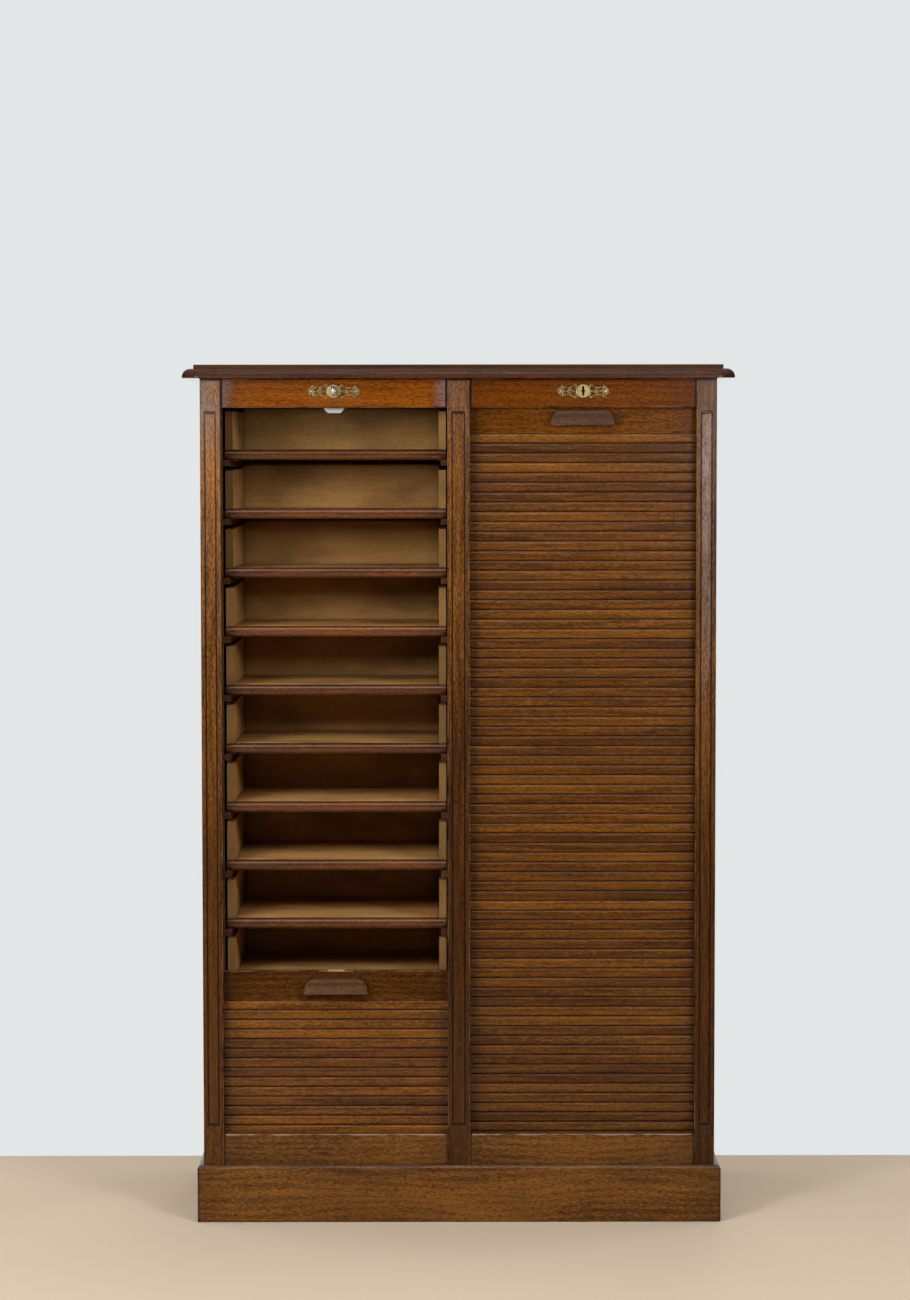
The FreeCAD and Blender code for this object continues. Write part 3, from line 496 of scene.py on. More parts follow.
@dataclass(frozen=True)
class Wood(Finish):
    """A wooden finish: its colours, its sheen, how worn it is, and its painted highlights and shade."""

    dark: Colour
    light: Colour
    low_tint: Colour = (0.72, 0.70, 0.68)
    high_tint: Colour = (1.28, 1.30, 1.30)
    pore: Colour = (0.012, 0.005, 0.002)
    # Pale colour of worn arrises; on the bottom rails also a painted highlight.
    wear_and_highlight_colour: Colour = (0.26, 0.12, 0.04)
    # Dark colour of stains, dirt and painted shade.
    grime_and_shade_colour: Colour = (0.010, 0.005, 0.003)
    dust_colour: Colour = (0.30, 0.26, 0.22)
    roughness: float = 0.25
    haze_share: float = 0.10
    coat: float = 0.12
    coat_roughness: float = 0.12
    pore_polish: float = 0.2
    shine: float = 0.16
    rings: float = 0.35
    fleck_share: float = 0.60
    wear_and_highlight_share: float = 0.5
    wear_and_highlight_reach: float = 0.0022
    # Dark band along edges: dirt, with painted shade in joints, gaps and grooves.
    grime_and_shade_share: float = 0.45
    grime_and_shade_reach: float = 0.0035
    end_share: float = 0.0
    end_reach: float = 0.09
    stain_share: float = 0.25
    dust_share: float = 0.10
    darkening_tint: Colour | None = None
    darkening_low: float = -0.25
    darkening_high: float = 0.55
    # Painted highlights: pale colour on the sunk field, at the head and at the tips of a board.
    sunk_highlight_share: float = 0.0
    sunk_highlight_colour: Colour = (0.31, 0.225, 0.200)
    sunk_highlight_low: float = 0.05
    sunk_highlight_high: float = 0.60
    crown_share: float = 0.0
    crown_colour: Colour = (0.112, 0.091, 0.086)
    crown_low: float = 0.65
    crown_high: float = 0.78
    tip_share: float = 0.0
    tip_colour: Colour = (0.27, 0.200, 0.215)
    tip_reach: float = 0.032
    highlight_thin: float = 0.5

    def dress(self, desk: Desk, effects: Effects) -> tuple[Output, dict]:
        """Draw the colour, the wear, the sheen, and the painted highlights and shade.

        Args:
            desk: The material's tree.
            effects: The shared shader groups.

        Returns:
            The height of the grain, and the shader's inputs.
        """
        place, half, tone, seed = (desk.read(mark) for mark in Mark)
        seeded = {"Position": place, "Seed": seed}
        figure = effects.place(desk, Effect.FIGURE, {**seeded, "Rings": self.rings})
        polish = effects.place(desk, Effect.POLISH, seeded)
        dust = effects.place(desk, Effect.DUST, {"Position": place})
        edges = effects.place(desk, Effect.EDGES, {
            "Position": place, "Half Size": half, "Wear Reach": self.wear_and_highlight_reach,
            "Grime Reach": self.grime_and_shade_reach, "End Reach": self.end_reach,
        })
        along = desk.split(place)[0]
        tint = desk.mix(tone, self.low_tint, self.high_tint)
        colour = desk.mix(1.0, desk.mix(figure["Figure"], self.dark, self.light), tint, "MULTIPLY")
        # Darker towards one end: the bottom of the stiles, and painted shade at the front of the upper
        # trays' left walls.
        if self.darkening_tint:
            darkened = desk.mix(desk.ramp(along, self.darkening_low, self.darkening_high), self.darkening_tint, WHITE)
            colour = desk.mix(1.0, colour, darkened, "MULTIPLY")
        layers = (
            *self.painted_highlights(desk, along, half, edges["Field"], polish["Haze"]),
            (polish["Stain"], self.stain_share, self.grime_and_shade_colour),
            (figure["Flecks"], self.fleck_share, self.pore),
            (edges["Ends"], self.end_share, self.grime_and_shade_colour),
            (edges["Grime"], self.grime_and_shade_share, self.grime_and_shade_colour),
            (edges["Wear"], self.wear_and_highlight_share, self.wear_and_highlight_colour),
            (dust["Dust"], self.dust_share, self.dust_colour),
        )
        for mask, share, over in layers:
            if share:
                colour = desk.mix(desk.times(mask, share), colour, over)
        sheen: Value = self.roughness
        if self.haze_share:
            sheen = desk.math("ADD", desk.times(polish["Haze"], self.haze_share), sheen)
        coat: Value = self.coat
        if self.coat and self.pore_polish < 1.0:
            coat = desk.ramp(figure["Flecks"], 0.0, 1.0, self.coat, self.coat * self.pore_polish)
        return figure["Height"], {
            "Base Color": colour, "Roughness": sheen, "Specular IOR Level": self.shine,
            "Coat Weight": coat, "Coat Roughness": self.coat_roughness,
        }

    def painted_highlights(self, desk: Desk, along: Output, half: Output, field: Output, haze: Output) -> list[tuple]:
        """Draw this finish's painted highlights: pale colour on lowered fields, at the head and at the
        tips.

        Args:
            desk: The material's tree.
            along: Place along the grain.
            half: Half the board's size.
            field: Mask of lowered fields.
            haze: Mask of the polish's haze.

        Returns:
            A mask, a share and a colour for each painted highlight.
        """
        found = []
        if self.sunk_highlight_share:
            sunk_highlight = desk.times(field, desk.ramp(along, self.sunk_highlight_low, self.sunk_highlight_high))
            found.append((sunk_highlight, self.sunk_highlight_share, self.sunk_highlight_colour))
        if self.crown_share:
            crown = desk.ramp(along, self.crown_low, self.crown_high)
            found.append((crown, self.crown_share, self.crown_colour))
        if self.tip_share:
            inward = desk.less(desk.split(half)[0], desk.math("ABSOLUTE", along))
            tip = desk.ramp(inward, 0.0, self.tip_reach, 1.0, 0.0)
            found.append((tip, self.tip_share, self.tip_colour))
        return [
            (desk.times(mask, desk.ramp(haze, 0.0, 1.0, self.highlight_thin, 1.0)), share, colour)
            for mask, share, colour in found
        ]


@dataclass(frozen=True)
class Metal(Finish):
    """A metal finish with tarnish and scratches."""

    bright: Colour
    dull: Colour
    roughness: float = 0.28
    dulling: float = 0.22
    tarnish_share: float = 0.7
    rub_reach: float = 0.0
    relief: float = field(default=0.12, kw_only=True)
    relief_depth: float = field(default=0.0002, kw_only=True)

    def dress(self, desk: Desk, effects: Effects) -> tuple[Output, dict]:
        """Draw the tarnish and the scratches.

        Args:
            desk: The material's tree.
            effects: The shared shader groups.

        Returns:
            The height of the scratches, and the shader's inputs.
        """
        place, half = (desk.read(mark) for mark in VECTOR_MARKS)
        inputs = {"Position": place, "Half Size": half, "Rub Reach": self.rub_reach}
        age = effects.place(desk, Effect.METAL, inputs)
        kept = desk.most(desk.less(self.tarnish_share, age["Rubbed"]), 0.0)
        colour = desk.mix(desk.times(age["Tarnish"], kept), self.bright, self.dull)
        sheen = desk.ramp(age["Tarnish"], 0.0, 1.0, self.roughness, self.roughness + self.dulling)
        return age["Scratch"], {"Base Color": colour, "Roughness": sheen, "Metallic": 1.0}


@dataclass(frozen=True)
class Canvas(Finish):
    """Woven cotton glued behind the slats."""

    thread: Colour = (0.36, 0.29, 0.19)
    gap: Colour = (0.13, 0.10, 0.06)
    threads: float = 1400.0
    weave: tuple[float, float] = (-0.8, 0.8)
    seed: float = 0.3
    stain_share: float = 0.4
    roughness: float = 0.9
    relief: float = field(default=0.5, kw_only=True)

    def dress(self, desk: Desk, effects: Effects) -> tuple[Output, dict]:
        """Draw the threads and the stains.

        Args:
            desk: The material's tree.
            effects: The shared shader groups.

        Returns:
            The height of the weave, and the shader's inputs.
        """
        place = desk.read(Mark.GRAIN)
        parts = desk.split(place)
        over, under = (desk.math("SINE", desk.times(parts[i], self.threads * math.pi)) for i in range(2))
        weave = desk.ramp(desk.times(over, under), *self.weave)
        polish = effects.place(desk, Effect.POLISH, {"Position": place, "Seed": self.seed})
        cloth = desk.mix(weave, self.gap, self.thread)
        colour = desk.mix(desk.times(polish["Stain"], self.stain_share), cloth, self.gap)
        return weave, {"Base Color": colour, "Roughness": self.roughness}


FRAME_WOOD = Wood(
    "frame_mahogany", "frame_wood", (0.048, 0.0150, 0.0019), (0.188, 0.0700, 0.0100), end_share=0.30,
)
# Bottom rails: pale worn arrises that also paint the highlight along the top edge.
BOTTOM_WOOD = replace(
    FRAME_WOOD, name="bottom_rail_mahogany", wear_and_highlight_colour=(0.36, 0.22, 0.15), wear_and_highlight_share=0.75, wear_and_highlight_reach=0.0034,
)
# Stiles: darker towards the bottom.
STILE_WOOD = Wood(
    "stile_mahogany", "frame_wood", (0.056, 0.0175, 0.0020), (0.255, 0.0950, 0.0140),
    darkening_tint=(0.38, 0.33, 0.24), coat=0.08, fleck_share=0.75, grime_and_shade_share=0.8,
)
# Right stile: a pale painted highlight on its sunk field, towards the top.
HIGHLIT_STILE_WOOD = replace(STILE_WOOD, name="highlit_stile_mahogany", sunk_highlight_share=0.56)
# Left and centre stiles: a pale grey painted highlight at the head.
LEFT_STILE_WOOD = replace(STILE_WOOD, name="left_stile_mahogany", crown_share=0.75)
CENTRE_STILE_WOOD = replace(STILE_WOOD, name="centre_stile_mahogany", crown_share=0.35)
TOP_WOOD = Wood(
    "top_mahogany", "top_wood", (0.036, 0.0105, 0.0042), (0.108, 0.0365, 0.0145), dust_share=0.04,
    roughness=0.30, shine=0.09, coat=0.07, coat_roughness=0.08, pore_polish=0.7, wear_and_highlight_share=0.08,
)
UNDER_WOOD = replace(
    TOP_WOOD, name="planed_mahogany", roughness=0.05, haze_share=0.0, shine=0.5, coat=1.0,
    coat_roughness=0.02, pore_polish=1.0, relief=0.02,
)
# Underside of the moulding between its ends: near black and matte, painted shade.
SHADED_SOFFIT_WOOD = replace(
    TOP_WOOD, name="shaded_soffit_mahogany", dark=(0.010, 0.004, 0.002), light=(0.024, 0.010, 0.005),
    roughness=0.8, shine=0.0, coat=0.0,
)
BOARD_WOOD = replace(
    TOP_WOOD, name="board_mahogany", dark=(0.036, 0.0095, 0.0026), light=(0.104, 0.032, 0.0090),
    roughness=0.5, shine=0.08, coat=0.0,
)
RAIL_WOOD = Wood(
    "rail_mahogany", "rail_wood", (0.092, 0.0210, 0.0006), (0.220, 0.0600, 0.0032),
    low_tint=(0.62, 0.57, 0.45), high_tint=(1.09, 1.06, 0.93), wear_and_highlight_colour=(0.30, 0.12, 0.025),
    shine=0.05, coat=0.03, grime_and_shade_share=0.95, end_share=0.15, end_reach=0.05,
)
# Left top rail: a pale painted highlight at both ends, over darker ends.
HIGHLIT_RAIL_WOOD = replace(RAIL_WOOD, name="highlit_rail_mahogany", end_share=0.35, tip_share=0.85)
LEAD_WOOD = Wood(
    "lead_mahogany", "lead_wood", (0.050, 0.015, 0.0012), (0.190, 0.062, 0.005),
    low_tint=(0.55, 0.57, 0.62), high_tint=(0.88, 0.79, 0.30), fleck_share=0.75, end_share=0.3,
    shine=0.06, coat=0.04,
)
HANDLE_WOOD = Wood(
    "handle_mahogany", "handle_wood", (0.055, 0.0215, 0.0080), (0.130, 0.0550, 0.0205),
    wear_and_highlight_colour=(0.34, 0.16, 0.07), wear_and_highlight_share=0.45, wear_and_highlight_reach=0.0028, roughness=0.34,
)
SLAT_WOOD = Wood(
    "slat_mahogany", "slat_wood", (0.0445, 0.0120, 0.0006), (0.160, 0.0540, 0.0044),
    low_tint=(0.78, 0.74, 0.68), high_tint=(1.18, 1.22, 1.20), wear_and_highlight_share=0.0,
    grime_and_shade_share=0.40, grime_and_shade_reach=0.0014, roughness=0.30, shine=0.09, coat=0.34, coat_roughness=0.15,
    end_share=0.25, end_reach=0.06,
)
FRESH_SLAT_WOOD = replace(
    SLAT_WOOD, name="fresh_slat_mahogany", dark=(0.046, 0.0118, 0.0005), light=(0.198, 0.0660, 0.0042),
    coat=0.48, low_tint=(0.68, 0.63, 0.58), high_tint=(1.28, 1.33, 1.30),
)
LIP_WOOD = Wood(
    "lip_mahogany", "tray_wood", (0.050, 0.0122, 0.0018), (0.142, 0.0415, 0.0064),
    low_tint=(0.85, 0.85, 0.85), high_tint=(1.15, 1.12, 1.10), shine=0.06, coat=0.9,
    coat_roughness=0.10, pore_polish=0.7,
    wear_and_highlight_share=0.25, grime_and_shade_share=0.2, dust_share=0.0,
)
TRAY_WOOD = Wood(
    "tray_deal", "tray_wood", (0.375, 0.198, 0.060), (0.520, 0.288, 0.096),
    low_tint=(0.90, 0.88, 0.86), high_tint=(1.08, 1.08, 1.08), pore=(0.16, 0.08, 0.025),
    wear_and_highlight_colour=(0.52, 0.35, 0.18), grime_and_shade_colour=(0.110, 0.055, 0.018), roughness=0.72, coat=0.0,
    shine=0.12, rings=0.12, fleck_share=0.12, wear_and_highlight_share=0.3, grime_and_shade_share=0.4, grime_and_shade_reach=0.006,
    end_share=0.3, end_reach=0.035, stain_share=0.60, dust_share=0.0,
)
# Left walls of the upper trays: painted shade darkens their front ends.
SHADED_WALL_WOOD = replace(
    TRAY_WOOD, name="shaded_walls_deal", end_share=0.2, darkening_tint=(0.30, 0.24, 0.18),
    darkening_low=-0.154, darkening_high=-0.136,
)
RUNNER_WOOD = Wood(
    "runner_mahogany", "runner_wood", (0.060, 0.016, 0.006), (0.150, 0.045, 0.016),
    coat=0.0, roughness=0.45,
)
INNER_WOOD = Wood(
    "inner_boards", "inner_wood", (0.040, 0.019, 0.008), (0.110, 0.058, 0.025),
    coat=0.0, roughness=0.7, shine=0.12, wear_and_highlight_share=0.2,
)
BACK_WOOD = Wood(
    "back_boards_wood", "inner_wood", (0.090, 0.042, 0.016), (0.220, 0.115, 0.048),
    coat=0.0, roughness=0.75, shine=0.15, rings=0.8, wear_and_highlight_share=0.3, grime_and_shade_share=0.6,
)
BRASS = Metal(
    "old_brass", "brass", (0.47, 0.350, 0.165), (0.032, 0.020, 0.008), roughness=0.30, tarnish_share=1.0,
)
PIN_BRASS = Metal(
    "pin_brass", "brass", (0.70, 0.56, 0.31), (0.20, 0.14, 0.06), roughness=0.24, tarnish_share=0.5,
)
STRIKE_BRASS = Metal(
    "strike_brass", "brass", (0.62, 0.47, 0.24), (0.07, 0.042, 0.018), tarnish_share=0.95, rub_reach=0.0155,
)
LOCK_STEEL = Metal("worn_steel", "lock_steel", (0.42, 0.41, 0.39), (0.13, 0.12, 0.11), roughness=0.36)
NAIL_IRON = Metal("nail_iron", "lock_steel", (0.20, 0.19, 0.18), (0.06, 0.045, 0.035), roughness=0.45)
KEY_STEEL = Metal("bright_steel", "key_steel", (0.74, 0.69, 0.66), (0.40, 0.36, 0.33), roughness=0.30)
COTTON = Canvas("shutter_canvas", "canvas")


class Store:
    """Keeps one material for each finish."""

    def __init__(self) -> None:
        """Start with the shared groups and no materials."""
        self.effects = Effects()
        self.made: dict[str, bpy.types.Material] = {}

    def get(self, finish: Finish) -> bpy.types.Material:
        """Return a finish's material, making it the first time.

        Args:
            finish: The finish wanted.

        Returns:
            Its material.
        """
        if finish.name not in self.made:
            self.made[finish.name] = finish.material(self.effects)
        return self.made[finish.name]


class Workpiece:
    """A mesh on the bench: boards are added, eased, marked and handed over as a piece."""

    dome_rings = ((1.0, -0.3), (1.0, 0.25), (0.85, 0.65), (0.5, 0.93), (0.15, 1.0))

    def __init__(self, name: str, store: Store) -> None:
        """Start with nothing on the bench.

        Args:
            name: Name of the piece to come.
            store: Where its materials come from.
        """
        self.name = name
        self.store = store
        self.bm = bmesh.new()
        self.chance = random.Random(name)

    def take(self, node: str) -> None:
        """Lay a copy of a CAD node's solids on the bench.

        Args:
            node: The node to copy.
        """
        bm = self.bm
        bm.from_mesh(frame["nodes"][node].data)
        bmesh.ops.remove_doubles(bm, verts=bm.verts, dist=WELD)
        bmesh.ops.dissolve_limit(bm, angle_limit=FLAT_ANGLE, verts=bm.verts, edges=bm.edges)

    def skin(self, rows: Sequence[Sequence[bmesh.types.BMVert]], solid: bool = True) -> None:
        """Lay faces from each row of points to the next.

        Args:
            rows: Rows with the same number of points.
            solid: Whether the rows run round to their starts, with a cap at both ends.
        """
        count = len(rows[0])
        faces = []
        for under, over in zip(rows, rows[1:]):
            for i in range(count if solid else count - 1):
                j = (i + 1) % count
                faces.append(self.bm.faces.new((under[i], under[j], over[j], over[i])))
        if solid:
            faces += [self.bm.faces.new(rows[0]), self.bm.faces.new(rows[-1][::-1])]
            bmesh.ops.recalc_face_normals(self.bm, faces=faces)

    def slab(self, profile: Outline, low_x: float, high_x: float) -> None:
        """Run a side view, with its corners as (y, z) in order, across in x as a solid board."""
        self.skin([[self.bm.verts.new((x, y, z)) for y, z in profile] for x in (low_x, high_x)])

    def box(self, low: Sequence[float], high: Sequence[float]) -> None:
        """Lay a square board on the bench, from its low to its high corner."""
        profile = [(low[1], low[2]), (high[1], low[2]), (high[1], high[2]), (low[1], high[2])]
        self.slab(profile, low[0], high[0])

    def dome(self, place: Vector, radius: float, rise: float, sides: int) -> None:
        """Lay the domed head of a nail on a face that looks backwards.

        Args:
            place: Middle of the head on that face.
            radius: Radius of the head.
            rise: How far it stands proud.
            sides: Corners round its rim.
        """
        rings = []
        for spread, lift in self.dome_rings:
            ring = []
            for i in range(sides):
                angle = math.tau * i / sides
                across, upward = math.cos(angle) * spread * radius, math.sin(angle) * spread * radius
                ring.append(self.bm.verts.new(place + Vector((across, rise * lift, upward))))
            rings.append(ring)
        self.skin(rings)

    def cloth(self, path: Outline, low_x: float, high_x: float, columns: int) -> None:
        """Lay a sheet of cloth along a side view path, marked across and along its threads.

        Args:
            path: Points as (y, z) along the sheet.
            low_x: One selvedge.
            high_x: The other selvedge.
            columns: Faces across.
        """
        grain, half, tone, seed = self.layers()
        width = high_x - low_x
        rows = []
        run = 0.0
        for i, (y, z) in enumerate(path):
            if i:
                run += math.dist(path[i - 1], path[i])
            row = []
            for j in range(columns + 1):
                x = low_x + width * j / columns
                vert = self.bm.verts.new((x, y, z))
                vert[grain] = Vector((x - low_x, run, 0.0))
                vert[half] = Vector((width, run, 0.0)) / 2
                vert[tone] = CLOTH_TONE
                vert[seed] = CLOTH_TONE
                row.append(vert)
            rows.append(row)
        self.skin(rows, solid=False)

    def ease(self, arris: float) -> None:
        """Round every sharp arris a little.

        Args:
            arris: How far back the rounding starts.
        """
        sharp = []
        for edge in self.bm.edges:
            long = edge.calc_length() > ARRIS_LENGTHS * arris
            if long and edge.is_manifold and edge.calc_face_angle() > SHARP_ANGLE:
                sharp.append(edge)
        bmesh.ops.bevel(
            self.bm, geom=sharp, offset=arris, offset_type="OFFSET", segments=ARRIS_STEPS,
            profile=ARRIS_ROUND, affect="EDGES", clamp_overlap=True,
        )

    def boards(self) -> list[list[bmesh.types.BMVert]]:
        """Find the separate boards on the bench.

        Returns:
            The points of each board.
        """
        waiting = set(self.bm.verts)
        found = []
        while waiting:
            board = [waiting.pop()]
            for vert in board:
                for edge in vert.link_edges:
                    other = edge.other_vert(vert)
                    if other in waiting:
                        waiting.remove(other)
                        board.append(other)
            found.append(board)
        return sorted(found, key=lambda verts: min(tuple(vert.co) for vert in verts))

    def layers(self) -> list[bmesh.types.BMLayerItem]:
        """Add a layer for each mark to the bench.

        Returns:
            The layers, in the order of the marks.
        """
        kinds = self.bm.verts.layers
        homes = [(kinds.float_vector if mark in VECTOR_MARKS else kinds.float, mark.value) for mark in Mark]
        for home, name in homes:
            home.new(name)
        return [home[name] for home, name in homes]

    def mark(
        self, tone: float | None = None, lip_y: float | None = None, wall_x: float | None = None
    ) -> None:
        """Give every board its grain, size and tone, and the boards of a lip or wall their material.

        Args:
            tone: One tone for all boards, or none to let each have its own.
            lip_y: Boards that start at or before this y get the second material.
            wall_x: Other boards that end at or before this x get the third material.
        """
        grain, half, shade, seed = self.layers()
        for verts in self.boards():
            low = Vector([min(vert.co[axis] for vert in verts) for axis in range(3)])
            high = Vector([max(vert.co[axis] for vert in verts) for axis in range(3)])
            size = high - low
            order = sorted(range(3), key=lambda axis: -size[axis])
            number = self.chance.random()
            kind = MAIN
            if lip_y is not None and low.y <= lip_y:
                kind = SECOND
            elif wall_x is not None and high.x <= wall_x:
                kind = THIRD
            for vert in verts:
                local = vert.co - (low + high) / 2
                vert[grain] = Vector([local[axis] for axis in order])
                vert[half] = Vector([size[axis] / 2 for axis in order])
                vert[shade] = number if tone is None else tone
                vert[seed] = number
                for face in vert.link_faces:
                    face.material_index = kind

    def underside(self, reach: float) -> None:
        """Give faces that look straight down the second material at both ends, and the third between.

        Args:
            reach: How far from the middle the ends start.
        """
        for x in (-reach, reach):
            parts = [*self.bm.verts, *self.bm.edges, *self.bm.faces]
            bmesh.ops.bisect_plane(self.bm, geom=parts, plane_co=(x, 0, 0), plane_no=(1, 0, 0))
        self.bm.normal_update()
        for face in self.bm.faces:
            if face.normal.z < DOWNWARD:
                face.material_index = SECOND if abs(face.calc_center_median().x) > reach else THIRD

    def clear(self, level: float) -> None:
        """Take the boards in the front half off the bench that reach above a level.

        Args:
            level: The z that stays clear.
        """
        gone = []
        for verts in self.boards():
            if verts[0].co.y < 0.0 and max(vert.co.z for vert in verts) > level:
                gone += verts
        bmesh.ops.delete(self.bm, geom=gone, context="VERTS")

    def move(self, change: Callable[[Vector], Vector]) -> None:
        """Move every point to the place that a function gives for its old one."""
        for vert in self.bm.verts:
            vert.co = change(vert.co)

    def deliver(self, finishes: Sequence[Finish], nodes: Sequence[str] = ()) -> bpy.types.Object:
        """Turn the bench into a shaded piece that stands for CAD nodes.

        Args:
            finishes: Its finishes, in the order of its material slots.
            nodes: The nodes that it stands for.

        Returns:
            The new piece.
        """
        mesh = bpy.data.meshes.new(self.name)
        self.bm.to_mesh(mesh)
        self.bm.free()
        for finish in finishes:
            mesh.materials.append(self.store.get(finish))
        mesh.shade_smooth()
        mesh.set_sharp_from_angle(angle=CREASE_ANGLE)
        piece = bpy.data.objects.new(self.name, mesh)
        bpy.context.scene.collection.objects.link(piece)
        even = piece.modifiers.new("even_shading", "WEIGHTED_NORMAL")
        even.keep_sharp = True
        if nodes:
            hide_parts(*nodes)
        log.info("%s: %d faces", self.name, len(mesh.polygons))
        return piece


@dataclass
class Boards:
    """CAD boards that keep their shape and get eased arrises, grain and a finish."""

    store: Store
    finish: Finish
    nodes: Sequence[str]
    body: str
    arris: float
    tone: float | None = None
    change: Callable[[Vector], Vector] | None = None

    def build(self) -> None:
        """Make one piece for each node."""
        for node in self.nodes:
            bench = Workpiece(node + "_eased", self.store)
            bench.take(node)
            if self.change:
                bench.move(self.change)
            bench.ease(self.arris)
            bench.mark(self.tone)
            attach(bench.deliver([self.finish], [node]), self.body)


@dataclass
class Keyhole:
    """A keyhole that years of use have rubbed wider in the middle."""

    side: Side
    reach: float = 0.0036
    height: float = 0.0102
    growth: float = 0.36

    def widen(self, point: Vector) -> Vector:
        """Move a point out if it is on the keyhole.

        Args:
            point: Any point of the plate or the rail.

        Returns:
            Its new place.
        """
        low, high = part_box("escutcheon_" + self.side.value)
        away = point - (low + high) / 2
        if abs(away.x) > self.reach or abs(away.z) > self.height:
            return point
        share = self.growth * (1.0 - abs(away.z) / self.height)
        return point + Vector((away.x * share, 0.0, 0.0))


@dataclass
class KeyTurn:
    """The key's bow stands a little off upright in the left lock."""

    angle: float = math.radians(20.0)

    def lean(self, point: Vector) -> Vector:
        """Turn a point round the keyhole if it is in front of the plate.

        Args:
            point: Any point of the key.

        Returns:
            Its new place.
        """
        low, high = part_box("escutcheon_" + Side.LEFT.value)
        if point.y > low.y:
            return point
        middle = (low + high) / 2
        x, z = point.x - middle.x, point.z - middle.z
        across = x * math.cos(self.angle) - z * math.sin(self.angle)
        upward = x * math.sin(self.angle) + z * math.cos(self.angle)
        return Vector((middle.x + across, point.y, middle.z + upward))


@dataclass
class Top:
    """The moulded top and the board on it; the moulding's ends are polished underneath too, and the
    underside between them is painted dark as shade.
    """

    store: Store
    arris: float = 0.0010
    tone: float = 0.5

    def build(self) -> None:
        """Dress both boards."""
        bench = Workpiece("top_moulding_eased", self.store)
        bench.take("top_moulding")
        bench.ease(self.arris)
        bench.mark(self.tone)
        bench.underside(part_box("side_right")[1].x)
        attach(bench.deliver([TOP_WOOD, UNDER_WOOD, SHADED_SOFFIT_WOOD], ["top_moulding"]), "carcass")
        Boards(self.store, BOARD_WOOD, ["top_board"], "carcass", self.arris, self.tone).build()


@dataclass
class Carcass:
    """The fixed case: stiles, rails, sides, plinth, top, back and the boards inside."""

    store: Store
    fine: float = 0.0006
    plain: float = 0.0009
    bold: float = 0.0012
    plinth: float = 0.0015
    runner: float = 0.0010

    def build(self) -> None:
        """Dress every fixed board with its finish, arris and tone."""
        widen = Keyhole(Side.RIGHT).widen
        inner = ["partition", "base_board", "bay_floors", "bay_backs"]
        groups = [
            (LEFT_STILE_WOOD, ["stile_left"], self.fine, 0.62, None),
            (CENTRE_STILE_WOOD, ["stile_centre"], self.fine, 0.28, None),
            (HIGHLIT_STILE_WOOD, ["stile_right"], self.fine, 0.25, None),
            (FRAME_WOOD, ["side_left", "side_right"], self.plain, 0.5, None),
            (BOTTOM_WOOD, ["bottom_rail_left", "bottom_rail_right"], self.bold, 0.55, None),
            (FRAME_WOOD, ["plinth_front", "plinth_returns"], self.plinth, 0.75, None),
            (HIGHLIT_RAIL_WOOD, ["top_rail_left"], self.plain, 0.72, None),
            (BACK_WOOD, ["back_boards"], self.bold, None, None),
            (INNER_WOOD, inner, self.fine, None, None),
            (INNER_WOOD, ["shutter_guides"], self.fine, 0.4, None),
            (RUNNER_WOOD, ["tray_runners"], self.runner, None, None),
            (RAIL_WOOD, ["top_rail_right"], self.plain, 0.09, widen),
        ]
        for finish, nodes, arris, tone, change in groups:
            Boards(self.store, finish, nodes, "carcass", arris, tone, change).build()
        Top(self.store).build()


@dataclass
class Tray:
    """One pull-out tray: pale boards behind a dark rounded lip."""

    store: Store
    side: Side
    number: int
    wall: float = 0.014
    bottom: float = 0.0095
    bottom_rise: float = 0.010
    back: float = 0.010
    lip_depth: float = 0.016
    lip_height: float = 0.020
    lip_round: float = 0.0095
    side_height: float = 0.1005
    front_height: float = 0.094
    arris: float = 0.0008
    round_steps: int = 5
    # Trays up to this number get painted shade on their left walls.
    shaded_walls: int = 3

    @property
    def node(self) -> str:
        """Name of the tray's CAD node."""
        return f"tray_{self.side.value}_{self.number:02d}"

    @property
    def body(self) -> str:
        """Name of the body that carries the tray."""
        own = f"left_tray_{self.number:02d}"
        return own if self.side is Side.LEFT and own in frame["bodies"] else "carcass"

    def lip_outline(self, front: float, level: float) -> Outline:
        """Work out the side view of the lip.

        Args:
            front: Foremost y.
            level: Underside z.

        Returns:
            Corners as (y, z), in order.
        """
        radius = self.lip_round
        corners = [(front + self.lip_depth, level)]
        turns = ((level + radius, -QUARTER), (level + self.lip_height - radius, -math.pi))
        for centre, start in turns:
            for i in range(self.round_steps + 1):
                angle = start - QUARTER * i / self.round_steps
                y = front + radius + radius * math.cos(angle)
                corners.append((y, centre + radius * math.sin(angle)))
        corners.append((front + self.lip_depth, level + self.lip_height))
        return corners

    def build(self) -> None:
        """Make the tray from its five boards."""
        low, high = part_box(self.node)
        start = low.y + self.lip_depth
        floor = low.z + self.bottom_rise
        inner_low = low.x + self.wall
        inner_high = high.x - self.wall
        wall = [
            (start, low.z), (high.y, low.z), (high.y, low.z + self.side_height),
            (start, low.z + self.front_height),
        ]
        bench = Workpiece(self.node + "_joined", self.store)
        bench.box((inner_low, start, floor), (inner_high, high.y, floor + self.bottom))
        bench.box((inner_low, high.y - self.back, floor + self.bottom), (inner_high, high.y, high.z))
        bench.slab(wall, low.x, inner_low)
        bench.slab(wall, inner_high, high.x)
        bench.slab(self.lip_outline(low.y, low.z), low.x, high.x)
        bench.ease(self.arris)
        bench.mark(None, low.y + self.arris, inner_low + self.arris)
        wall_wood = SHADED_WALL_WOOD if self.number <= self.shaded_walls else TRAY_WOOD
        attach(bench.deliver([TRAY_WOOD, LIP_WOOD, wall_wood], [self.node]), self.body)


